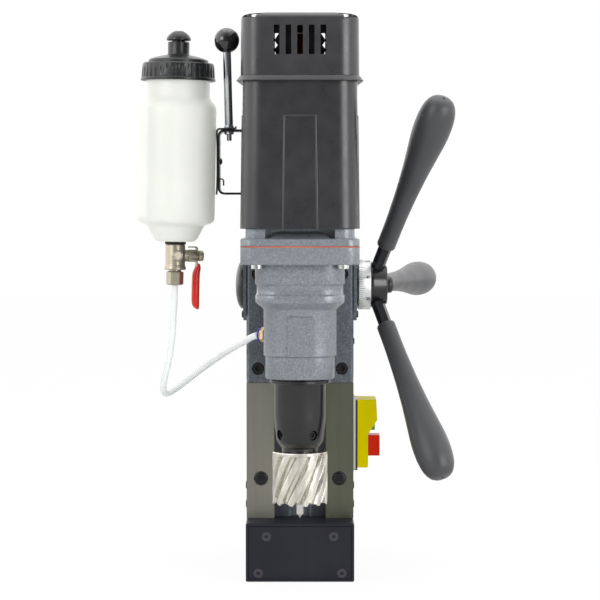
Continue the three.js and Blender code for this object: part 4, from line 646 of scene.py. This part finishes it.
# A grip from its bore outwards
GRIP = [
    (0, 47.8), (6.4, 47.8), (6.4, 0), (7.6, 0), (8.3, 0.2), (8.7, 0.9), (8.75, 2), (8.75, 10), (8.8, 22),
    (9.1, 34), (9.6, 46), (10.2, 58), (11.1, 70), (12.3, 84), (13.9, 98), (15.4, 110.5), (16.4, 119),
    (16.95, 126), (17.05, 132), (16.9, 138.5), (16.2, 145.5), (15, 151), (13.2, 155.4), (10.8, 158.9),
    (8, 160.9), (5, 161.7), (2.4, 162), (1.3, 162), (1.2, 159), (0, 159),
]


def capstan():
    cad_finish("gear", "pinion_shaft")
    lathe("depth_dial_turned", [
        (16.3, 55), (22.9, 55), (23.3, 55.3), (23.3, 65.7), (22.8, 66.4), (16.3, 66.4), (16.3, 55)],
        "capstan", "dial", CAPSTAN, 96, replace="depth_dial", slot="dial_metal")
    dial_marks()
    hub = lathe("capstan_hub_turned", [
        (8.3, 55.3), (15.9, 55.3), (15.9, 66.7), (21.1, 66.7), (21.5, 67.1), (21.4, 69.4), (20.9, 70.6),
        (18.7, 80.6), (18.2, 81.6), (17.5, 82), (5.3, 82), (5.3, 69.2), (8.3, 69.2), (8.3, 55.3)],
        "capstan", "oxide", CAPSTAN, 96, replace="capstan_hub", slot="black_steel")
    tools = []
    for index in range(3):
        place = handle_place(index)
        tools.append(moved(turned([(0, 12.2), (4.3, 12.2), (4.3, 26), (0, 26)], 32), place))
        tools.append(moved(turned([(0, 20.5), (7.7, 20.5), (7.7, 31), (0, 31)], 48), place))
    carved(hub, *tools)
    lathe("hub_nut_turned", [
        (5.3, 82), (9, 82), (9, 82.7), (7.9, 82.8), (7.9, 84.6), (7.6, 85.8), (6.6, 87), (5, 88), (2.8, 88.6),
        (0, 88.8), (0, 86.5), (5.3, 86.5), (5.3, 82)], "capstan", "black", CAPSTAN, 48, replace="hub_cap_nut",
        slot="black_plastic")
    for index in range(3):
        cad_finish("rod_oxide", f"handle_rod_{index + 1}")
        place = handle_place(index) @ Matrix.Translation((0, 0, 44.5))
        lathe(f"handle_grip_{index + 1}_moulded", GRIP, "capstan", "grip", place, 64,
              replace=f"handle_grip_{index + 1}", slot="grip_grey")


def shaft_cap():
    place = Matrix.Translation((-53, SHAFT_Y, SHAFT_Z)) @ Matrix.Rotation(-math.pi / 2, 4, "Y")
    lathe("shaft_cap_turned", [
        (0, 4), (8.9, 4), (8.9, 0), (22.5, 0), (22.5, 1.6), (21.8, 2.9), (19.4, 4.6), (15.5, 6), (10, 7.1),
        (4, 7.5), (0, 7.5)], "stand", "black", place, 72, replace="shaft_end_cap", slot="black_plastic")


# Gearbox
def gearbox():
    levels = [
        (191.4, 29.8, 22.4), (191.9, 30.6, 23.1), (192.6, 31.1, 23.5), (211.2, 31.1, 23.5), (212.0, 31.7, 23.8),
        (212.5, 32.7, 24), (253.2, 32.7, 24), (254.2, 33.0, 23.9), (255.2, 33.8, 23.6), (260.0, 39.2, 22.2),
        (260.6, 39.7, 22), (261.4, 39.8, 22), (266.6, 39.8, 22), (267.1, 39.6, 21.9), (267.8, 38.8, 21.1),
        (268.2, 38.6, 21), (275.6, 38.6, 21), (276.1, 38.8, 20.8), (277.0, 39.8, 20.1), (277.6, 40, 20),
        (294.7, 40, 20), (294.7, 52.0, 11.4), (295.1, 52.5, 11.8), (295.7, 52.7, 12), (310, 52.7, 12),
    ]
    body = stack(levels, 10)
    pad = loft([
        plan(-11.5, 11.5, -32.7, -20, 212.2), plan(-11.2, 11.2, -33.5, -20, 212.5),
        plan(-11.2, 11.2, -33.5, -20, 247.8), plan(-11.5, 11.5, -32.7, -20, 248.2),
    ])
    flanks = loft([plan(-33.15, 33.15, -15, 15, 212), plan(-35, 35, -15, 15, 248)])
    boss = box(-30, 30, 8, 52.7, 201.7, 302)
    casting = make("gearbox_casting", joined(body, pad, flanks, boss), "carriage", "gearbox", "gearbox_housing",
                   "gearbox_grey", matrix=SPINDLE)
    carved(casting, moved(turned([(0, 150), (5.6, 150), (5.6, 222), (0, 222)], 24), SPINDLE))
    cad_finish("gasket", "gearbox_gasket")
    cover = stack([
        (311, 52.2, 11.7), (311.4, 52.6, 12), (316.4, 52.7, 12), (317.1, 52.4, 11.8), (317.4, 51.9, 11.4),
        (317.4, 48.8, 11.2), (317.9, 48.3, 11), (326.3, 48.2, 11)], 10)
    piece = make("gearbox_top_casting", cover, "carriage", "gearbox", "gearbox_cover", "gearbox_grey",
                 matrix=SPINDLE)
    carved(piece, box(-30.75, 30.75, -190, -166.5, 317.9, 330))
    ramp = plan(-27.6, 27.6, -183.2, -169.2, 317.6) + [(-18.5, -169.2, 323.6), (18.5, -169.2, 323.6)]
    make("exhaust_ramp", (ramp, [(0, 1, 5, 4), (1, 2, 5), (0, 4, 3), (2, 3, 4, 5), (0, 3, 2, 1)]), "carriage",
         "gearbox")
    for x, y, word in corners(40):
        socket_head(f"gearbox_screw_{word}", (x * 0.955, y + SPINDLE_Y, 294.9), DOWN, 5.1, 4.0, 2.0, "carriage",
                    "zinc")
    cad_finish("slide", "slide_block")
    cad_finish("gear", "feed_rack", "layshaft", "spindle")


# Motor: case, lip and cap
def motor():
    case = stack([
        (326.3, 51.6, 17.5), (326.9, 52.1, 18), (330, 52.15, 18), (456.8, 50.5, 18)], 12)
    plates = [loft([plan(side * 30, side * 52.9, -31, 31, 326.3), plan(side * 30, side * 51.6, -31, 31, 426.3)])
              for side in (-1, 1)]
    panel = loft([
        [(-x0, -y0, z), (x0, -y0, z), (x1, -y1, z), (x1, -40, z), (-x1, -40, z), (-x1, -y1, z)]
        for x0, y0, x1, y1, z in (
            (14.4, 53.6, 15.9, 52.0, 326.3), (13.0, 52.4, 14.6, 50.6, 425.1), (13.0, 50.6, 14.0, 50.4, 426.7))])
    make("motor_case_moulded", joined(case, *plates, panel), "carriage", "motor", "motor_housing",
         "motor_plastic", matrix=SPINDLE)
    ring, faces = stack([
        (456.8, 50.6, 18), (456.9, 53.6, 18.4), (456.4, 55.0, 18.8), (456.2, 55.8, 19.0), (456.7, 55.9, 19.0),
        (457.8, 55.2, 18.9), (459.6, 53.8, 18.5), (460.6, 53.1, 18.2), (461, 52.6, 18)], 12)
    lip = [(x * (1 - 0.055 * min(1, max(0, (y + 34) / 34))), y, z) for x, y, z in ring]
    make("motor_lip_moulded", (lip, faces), "carriage", "motor_cap", "motor_flange_ring", "motor_plastic",
         matrix=SPINDLE)
    cap = stack([
        (461, 52.3, 18), (509.6, 51.9, 18), (511.2, 51.7, 17.9), (512.8, 50.9, 17.3), (514.4, 49, 15.6),
        (515.8, 45, 12), (516.6, 36, 8), (517, 20, 5)], 12)
    piece = make("motor_cap_moulded", cap, "carriage", "motor_cap", "motor_cap", "motor_plastic", matrix=SPINDLE)
    tools = [moved(stack([(450, 48.3, 14), (511, 47.6, 14)], 6), SPINDLE)]
    for x, y, _ in corners(38):
        cut = stack([(511.6, 9.2, 5), (530, 9.2, 5)], 6)
        shift = (x + math.copysign(1.6, x), y + SPINDLE_Y + math.copysign(1.6, y), 0)
        tools.append(moved(cut, Matrix.Translation(shift)))
        across, along = sorted((x, x * 1.6)), sorted((y, y * 1.6))
        tools.append(box(*across, *(value + SPINDLE_Y for value in along), 511.6, 530))
    for slot in range(5):
        x = (slot - 2) * 10.2
        tools.append(box(x - 2.6, x + 2.6, -200, -70, 479, 504.7))
    carved(piece, *tools)
    for x, y, word in corners(38):
        socket_head(f"cap_screw_{word}", (x, y + SPINDLE_Y, 511.6), UP, 5.2, 2.6, 2.0, "carriage", "zinc", 0.8)
        lathe(f"cap_post_{word}", [(0, 461), (8, 461), (8, 511.2), (0, 511.2)], "carriage", "motor",
              Matrix.Translation((x, y + SPINDLE_Y, 0)), 24)
    guides = [box(side * 10.2 - 4.4, side * 10.2 + 4.4, -175.5, -173, 466, 510) for side in (-1, 1)]
    for side in (-1, 1):
        edge = [(17.6, 462), (26.5, 462), (26.5, 475), (24.2, 480.5), (20.6, 478), (22.6, 484), (19.6, 487.5),
                (22.6, 492), (18.4, 498), (26.5, 500), (26.5, 510), (17.6, 510)]
        guides.append(slab([(side * x, z) for x, z in edge], -175.5, -173))
    make("air_guides", joined(*guides), "carriage", "dark")
    cad_finish("gear", "field_stator")
    cad_finish("copper", "armature")
    cad_finish("black", "cooling_fan", "brush_holder_left", "brush_holder_right")


# Arbor, cutter and pilot pin
SET_SCREW_Z = 140.9
SET_SCREW_ANGLES = (-57, -147)


def arbor():
    piece = lathe("arbor_turned", [
        (9.55, 125.5), (16.5, 125.5), (16.5, 128.4), (17.3, 128.6), (17.9, 129.2), (21.0, 134.4), (21.4, 135.6),
        (22.6, 146), (23.3, 153), (23.65, 158), (23.65, 186.2), (23.9, 187), (26.9, 187), (27.5, 187.6),
        (27.5, 189.9), (26.9, 190.5), (5.2, 190.5), (5.2, 156.2), (9.55, 156.2), (9.55, 125.5)],
        "spindle_set", "oxide", SPINDLE, 96, replace="arbor", slot="black_steel")
    tools = []
    for angle in SET_SCREW_ANGLES:
        turn = Matrix.Rotation(math.radians(angle), 4, "Z")
        place = SPINDLE @ turn @ Matrix.Translation((0, 0, SET_SCREW_Z)) @ Matrix.Rotation(math.pi / 2, 4, "Y")
        tools.append(moved(turned([(0, 12), (4.5, 12), (4.5, 30), (0, 30)], 32), place))
    carved(piece, *tools)
    for index, angle in enumerate(SET_SCREW_ANGLES):
        turn = math.radians(angle)
        out = Vector((math.cos(turn), math.sin(turn), 0))
        origin = Vector((0, SPINDLE_Y, SET_SCREW_Z)) + out * 18
        screw = socket_head(f"set_screw_{index + 1}_turned", origin, out, 4.2, 1.9, 2.1, "spindle_set")
        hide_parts(f"set_screw_{index + 1}")


def cutter():
    """Twelve helical flutes whose teeth are ground at the foot, a plain bore and a shank."""
    flutes, layers, per = 12, 24, 16
    radius, root, foot, height = 25.0, 21.9, 77.55, 44.9
    twist = height * math.tan(math.radians(28)) / radius
    rings = []
    for layer in range(layers + 1):
        share = layer / layers
        ring = []
        for flute in range(flutes):
            for step in range(per):
                along = step / per
                if along < 0.5:
                    reach = radius - 0.25 * max(0, 0.12 - along) * 8
                elif along < 0.56:
                    reach = radius - (radius - root) * (along - 0.5) / 0.06
                elif along < 0.8:
                    reach = root
                else:
                    reach = root + (radius - root) * ((along - 0.8) / 0.2) ** 1.6
                drop = 0.0
                if layer == 0:
                    if along < 0.5:
                        drop = 3.0 * abs(along - 0.36) / 0.36
                    elif along > 0.56:
                        drop = 3.4
                angle = (flute + along) * 2 * math.pi / flutes + share * twist
                ring.append((reach * math.cos(angle), reach * math.sin(angle), foot + share * height + drop))
        rings.append(ring)
    shell = loft(rings, False)
    count = len(rings[0])
    bore = 20.6
    verts, faces = shell
    base = len(verts)
    for z in (79.9, 116.55):
        for i in range(count):
            angle = 2 * math.pi * i / count
            verts.append((bore * math.cos(angle), bore * math.sin(angle), z))
    for i in range(count):
        j = (i + 1) % count
        faces.append((j, i, base + i, base + j))
        faces.append((base + j, base + i, base + count + i, base + count + j))
    faces.append(tuple(base + count + i for i in range(count)))
    rim = turned([
        (0, 121.9), (24.4, 121.9), (24.9, 122.6), (24.9, 124.3), (24.3, 125.05), (9.5, 125.05), (9.5, 156.05),
        (0, 156.05)], 96)
    make("cutter_ground", joined((verts, faces), rim), "spindle_set", "cutter", "cutter", "cutter_steel",
         angle=30.0, matrix=SPINDLE)
    lathe("pilot_pin_ground", [
        (0, 64.15), (0.35, 64.45), (3.175, 67.9), (3.175, 156.65), (4.6, 156.65), (4.6, 160.05), (0, 160.05)],
        "pilot", "pin", SPINDLE, 40, replace="pilot_pin", slot="cutter_steel")


# Bottle, its cap, spout and tap
def bottle():
    levels = [
        (0.0, 15.4, 1), (0.3, 16.8, 1), (1.2, 18.4, 1), (3.0, 20.0, 1), (8, 22.6, 1), (13.2, 25.2, 1),
        (14.6, 26.2, 1), (15.6, 27.6, 0.96), (16.5, 29.6, 0.86), (17.6, 31.2, 0.77), (19.2, 32.2, 0.71),
        (21.5, 32.65, 0.68), (24, 32.7, 0.667), (118, 32.7, 0.667), (122, 32.6, 0.68), (125, 31.8, 0.74),
        (127.2, 30.6, 0.84), (129.4, 29.9, 0.93), (131.2, 29.4, 0.98), (133, 29.2, 1), (160.4, 29.2, 1),
    ]
    rings = [square_ring(half, min(half * share, half * 0.999), z, 12) for z, half, share in levels]
    turn = BOTTLE @ Matrix.Rotation(math.radians(20), 4, "Z")
    make("coolant_bottle_blown", loft(rings), "carriage", "bottle", "coolant_bottle", "bottle_plastic",
         angle=60.0, matrix=turn)
    ribs, per = 36, 8
    foot, top = 146.4, 162.9
    rings = []
    for z, reach, deep in (
            (foot, 33.7, 0), (foot + 0.5, 34.2, 0), (foot + 2.0, 34.2, 0), (foot + 2.6, 33.8, 0.0),
            (foot + 3.2, 33.5, 1), (foot + 8.5, 33.1, 0.8), (foot + 13.2, 32.8, 0.15), (foot + 15.2, 32.5, 0),
            (foot + 16.2, 31.6, 0), (top - 0.1, 29.5, 0)):
        ring = []
        for i in range(ribs * per):
            share = (i % per) / per
            dent = 0.95 * deep if 0.45 < share < 0.95 else 0.0
            angle = 2 * math.pi * i / (ribs * per)
            ring.append(((reach - dent) * math.cos(angle), (reach - dent) * math.sin(angle), z))
        rings.append(ring)
    disc = turned([
        (0, top - 1.2), (26.9, top - 1.2), (27.4, top - 0.6), (27.4, top + 1.8), (26.6, top + 2.9),
        (22, top + 4.6), (16, top + 6.2), (11.5, top + 7.0), (10.2, top + 7.6), (9.9, top + 8.4),
        (9.9, top + 18.3), (9.5, top + 18.8), (6.9, top + 18.8), (6.9, top + 4), (0, top + 4)], 72)
    make("bottle_cap_moulded", joined(loft(rings), disc), "filler_cap", "black", "bottle_cap", "black_plastic",
         angle=30.0, matrix=BOTTLE)
    lathe("bottle_spout_moulded", [
        (0, 171.1), (6.3, 171.1), (6.3, 183.1), (10.4, 183.1), (11.1, 183.6), (11.2, 184.6), (10.6, 186.2),
        (8.9, 188.4), (6.6, 190.4), (4.2, 191.7), (2, 192), (0, 192.1)], "cap_spout", "black", BOTTLE, 56,
        replace="bottle_spout", slot="black_plastic")


def tap():
    body = turned([
        (0, -25.8), (9.3, -25.8), (9.9, -25.3), (9.9, -23), (9.5, -22.3), (9.2, -21.6), (9.1, -20.6),
        (9.1, -3.4), (9.0, -3.0), (8.2, -2.6), (9.2, -2.2), (8.4, -1.7), (9.4, -1.3), (8.6, -0.9), (9.3, -0.5),
        (9.0, -0.3), (0, -0.3)], 64)
    stem = moved(turned([
        (0, 0), (5.4, 0), (5.4, 10.4), (5.0, 10.6), (5.0, 11.2), (5.6, 11.8, "hex"), (5.6, 18.7, "hex"),
        (5.2, 19.3), (2.6, 19.3), (2.6, 24), (0, 24)], 48), TAP_CROSS)
    ring = moved(turned([
        (0, 0), (5.0, 0), (5.0, 9.6), (4.6, 10.15), (4.0, 10.15), (3.7, 9.7), (3.7, 9.3), (0, 9.3)], 48),
        Matrix.Translation((0, 0, -TAP_AXIS)) @ Matrix.Rotation(math.pi / 2, 4, "X"))
    make("tap_body_cast", joined(body, stem, ring), "carriage", "nickel", "tap_body", "nickel_brass", matrix=TAP)
    thread = turned([(0, -0.3), (9.6, -0.3), (9.6, -2.4), (0, -2.4)], 48)
    make("tap_seal", thread, "carriage", "dark", matrix=BOTTLE)
    nut = turned([
        (3.6, -39.7), (6.2, -39.7), (6.85, -38.9, "hex"), (6.85, -28.0, "hex"), (6.2, -27.2), (5.6, -27.2),
        (5.6, -25.8), (3.6, -25.8), (3.6, -39.7)], 48)
    make("compression_nut_turned", nut, "carriage", "nickel", "compression_nut", "nickel_brass",
         matrix=BOTTLE @ Matrix.Rotation(math.radians(-25), 4, "Z"))


def lever():
    knob = turned([
        (2.9, 19.6), (5.2, 19.6), (5.2, 20.6), (3.6, 20.8), (3.6, 21.4), (4.6, 21.8), (4.9, 22.4), (4.9, 25.2),
        (4.5, 26.1), (2.9, 26.5), (2.9, 19.6)], 40)
    neck = box(19.5, 20.8, -3.1, 3.1, -10.5, 7.2)
    stop = loft([[(x - dx, -2.4, z - dz), (x - dx, 2.4, z - dz), (x + dx, 2.4, z + dz), (x + dx, -2.4, z + dz)]
                 for x, z, dx, dz in ((20.15, 6.4, 0.65, 0), (19.9, 7.5, 0.5, 0.4), (19.0, 8.0, 0.1, 0.6),
                                      (13.2, 8.1, 0, 0.6), (12.4, 7.8, -0.2, 0.55))])
    flat = moved(joined(neck, stop), Matrix.Translation((0, 0, -TAP_AXIS)))
    make("lever_neck_pressed", joined(moved(knob, TAP_CROSS), flat), "valve_lever", "nickel", matrix=TAP)
    levels = [
        (-7.0, 21.2, 0.8, 2.9), (-7.5, 21.5, 1.6, 3.3), (-9.6, 21.6, 2.3, 3.6), (-12.0, 21.1, 3.0, 3.7),
        (-15, 20.2, 3.3, 3.75), (-18.5, 19.8, 3.5, 3.75), (-27, 19.7, 3.55, 3.75), (-36, 19.7, 3.5, 3.75),
        (-42, 19.8, 3.4, 3.7), (-45.4, 20.2, 3.05, 3.5), (-47.5, 20.9, 2.3, 2.9), (-48.8, 21.7, 1.3, 2.0),
        (-49.3, 22.0, 0.4, 1.0),
    ]
    rings = []
    for z, x, thick, wide in levels:
        ring = []
        for i in range(24):
            angle = 2 * math.pi * i / 24
            c, s = math.cos(angle), math.sin(angle)
            ring.append((x + thick * math.copysign(abs(c) ** 0.7, c), wide * math.copysign(abs(s) ** 0.7, s),
                         z - TAP_AXIS))
        rings.append(ring)
    make("lever_handle_dipped", loft(rings), "valve_lever", "red", "tap_lever", "red_vinyl", angle=60.0,
         matrix=TAP)


def fitting():
    port = SPINDLE @ Matrix.Translation((0, 0, 229.4)) @ Matrix.Rotation(-math.radians(25), 4, "Z") \
        @ Matrix.Rotation(-math.pi / 2, 4, "Y")
    cad_finish("brass", "tube_fitting")
    lathe("fitting_seal_ring", [(3.2, 37.9), (6.6, 37.9), (6.6, 38.4), (3.2, 38.4), (3.2, 37.9)], "carriage",
          "peach", port, 40)
    lathe("fitting_collet_moulded", [
        (3.4, 38.4), (6.3, 38.4), (7.0, 38.9), (7.0, 40.0), (6.3, 40.6), (4.2, 40.6), (3.4, 40.0), (3.4, 38.4)],
        "carriage", "blue", port, 48, replace="fitting_collet", slot="blue_plastic")


def strip(line, half, y0, y1):
    """A bent strip of metal: its middle line in X and Z, half its thickness and its two sides in Y."""
    rings = []
    for i, (x, z) in enumerate(line):
        before = Vector(line[max(0, i - 1)])
        after = Vector(line[min(len(line) - 1, i + 1)])
        normal = Vector((-(after - before).y, (after - before).x)).normalized() * half
        rings.append([(x - normal.x, y0, z - normal.y), (x - normal.x, y1, z - normal.y),
                      (x + normal.x, y1, z + normal.y), (x + normal.x, y0, z + normal.y)])
    return loft(rings)


def bracket():
    strap = strip([
        (-52.6, 357.5), (-68.4, 357.5), (-70.6, 357.9), (-72.3, 359), (-73.3, 360.8), (-73.6, 363),
        (-73.6, 409), (-73.3, 411.3), (-72.3, 413.1), (-70.6, 414.2), (-68.4, 414.6), (-52.2, 414.6)], 1, -119, -93)
    plate = strip([
        (-76.0, 356.5), (-75.5, 363), (-75.2, 376), (-75.2, 400), (-75.5, 412), (-75.4, 414.4), (-74.8, 415.7),
        (-73.4, 416.3), (-59.6, 416.3), (-58.5, 416.8), (-58.0, 418.4)], 0.6, -117, -95)
    hook = strip([(-73.4, 370.9), (-71.4, 370.9), (-70.3, 370.4), (-69.8, 369.2), (-69.8, 364.9)], 0.6, -106, -94)
    rivet = moved(turned([(0, 0), (3.2, 0), (2.9, 0.9), (1.8, 1.7), (0, 2)], 32),
                  Matrix.Translation((-72.6, -106, 386.8)) @ Matrix.Rotation(math.pi / 2, 4, "Y"))
    make("bottle_bracket_bent", joined(strap, plate, hook, rivet), "carriage", "rod_oxide", "bottle_bracket",
         "black_steel")
    rod = turned([
        (0, -10.3), (1.7, -10.3), (2.2, -9.7), (2.2, 3.6), (3.3, 3.8), (3.8, 4.6), (3.8, 77), (0, 77)], 40)
    nuts = [turned([
        (0, z), (3.7, z), (4.2, z + 0.5, "hex"), (4.2, z + 1.9, "hex"), (3.7, z + 2.4), (0, z + 2.4)], 36)
        for z in (-4.7, 1.9)]
    washers = [turned([(0, z), (4.9, z), (4.9, z + 0.7), (0, z + 0.7)], 36) for z in (-2.75, 1.35)]
    make("ball_rod_plated", joined(rod, *nuts, *washers), "carriage", "chrome", "ball_rod", "chrome_rod",
         matrix=ROD)
    radius, middle, opening, steps = 11.6, 80.6, 0.36, 32
    ball = []
    for i in range(steps + 1):
        angle = -math.pi / 2 + opening + i / steps * (math.pi - opening)
        ball.append((radius * math.cos(angle) if i < steps else 0, middle + radius * math.sin(angle)))
    neck = middle - radius * math.cos(opening)
    lathe("rod_ball_moulded", [(0, neck), (3.8, neck)] + ball, "carriage", "gloss_black", ROD, 56,
          replace="rod_ball", slot="black_plastic")


stand()
capstan()
shaft_cap()
gearbox()
motor()
arbor()
cutter()
bottle()
tap()
lever()
fitting()
bracket()


# Floor, world and lights
def seen_share(tree):
    """The light path, and 1 for rays from the camera and rays through clear pieces."""
    path = tree.nodes.new("ShaderNodeLightPath")
    either = tree.nodes.new("ShaderNodeMath")
    either.operation = "MAXIMUM"
    tree.links.new(path.outputs["Is Camera Ray"], either.inputs[0])
    tree.links.new(path.outputs["Is Transmission Ray"], either.inputs[1])
    return path, either.outputs[0]


def studio_floor():
    """A white floor, in metres, that is seen as bright as the background."""
    mesh = bpy.data.meshes.new("studio_floor")
    mesh.from_pydata([(-4, -3, 0), (4, -3, 0), (4, 6, 0), (-4, 6, 0)], [], [(0, 1, 2, 3)])
    floor = bpy.data.objects.new("studio_floor", mesh)
    scene.collection.objects.link(floor)
    material = bpy.data.materials.new("studio_floor")
    material.use_nodes = True
    tree = material.node_tree
    bsdf = tree.nodes["Principled BSDF"]
    bsdf.inputs["Base Color"].default_value = (0.9, 0.9, 0.9, 1)
    bsdf.inputs["Roughness"].default_value = 0.9
    glow = tree.nodes.new("ShaderNodeEmission")
    glow.inputs["Strength"].default_value = 1.03
    share = tree.nodes.new("ShaderNodeMath")
    share.operation = "MULTIPLY"
    share.inputs[1].default_value = 0.9
    mix = tree.nodes.new("ShaderNodeMixShader")
    tree.links.new(seen_share(tree)[1], share.inputs[0])
    tree.links.new(share.outputs[0], mix.inputs[0])
    tree.links.new(bsdf.outputs[0], mix.inputs[1])
    tree.links.new(glow.outputs[0], mix.inputs[2])
    tree.links.new(mix.outputs[0], tree.nodes["Material Output"].inputs["Surface"])
    mesh.materials.append(material)


def studio_world():
    """A white world. In reflections it is dark at the front and light at the sides, more so at the left."""
    world = bpy.data.worlds.new("studio")
    scene.world = world
    world.use_nodes = True
    tree = world.node_tree
    background = tree.nodes["Background"]
    background.inputs["Color"].default_value = (1, 1, 1, 1)
    place = tree.nodes.new("ShaderNodeTexCoord")
    split = tree.nodes.new("ShaderNodeSeparateXYZ")
    tree.links.new(place.outputs["Generated"], split.inputs[0])
    reflected = tree.nodes.new("ShaderNodeMath")
    tree.links.new(map_range(tree, split.outputs["Y"], (-0.85, -0.2), (0.22, 1.5)), reflected.inputs[0])
    tree.links.new(map_range(tree, split.outputs["X"], (-0.6, -0.08), (0.5, 0.0)), reflected.inputs[1])
    path, direct = seen_share(tree)
    plain = tree.nodes.new("ShaderNodeMix")
    plain.inputs["A"].default_value = 0.62
    tree.links.new(path.outputs["Is Glossy Ray"], plain.inputs["Factor"])
    tree.links.new(reflected.outputs[0], plain.inputs["B"])
    seen = tree.nodes.new("ShaderNodeMix")
    seen.inputs["B"].default_value = 1.0
    tree.links.new(direct, seen.inputs["Factor"])
    tree.links.new(plain.outputs["Result"], seen.inputs["A"])
    tree.links.new(seen.outputs["Result"], background.inputs["Strength"])


# Each lamp's place and size in metres, and its power in watts
LAMPS = (
    ("key_light", (1.55, -1.85, 0.7), 1.2, 27), ("left_light", (-1.6, -1.7, 1.1), 1.0, 13),
    ("top_light", (0, 0.1, 1.9), 1.2, 5),
)
LAMP_TARGET = Vector((0, -0.1, 0.27))


def studio_lamps():
    for name, place, size, power in LAMPS:
        lamp = bpy.data.lights.new(name, "AREA")
        lamp.size = size
        lamp.energy = power
        holder = bpy.data.objects.new(name, lamp)
        holder.location = place
        holder.rotation_euler = (LAMP_TARGET - Vector(place)).to_track_quat("-Z", "Y").to_euler()
        scene.collection.objects.link(holder)


studio_floor()
studio_world()
studio_lamps()
scene.view_settings.view_transform = "Standard"
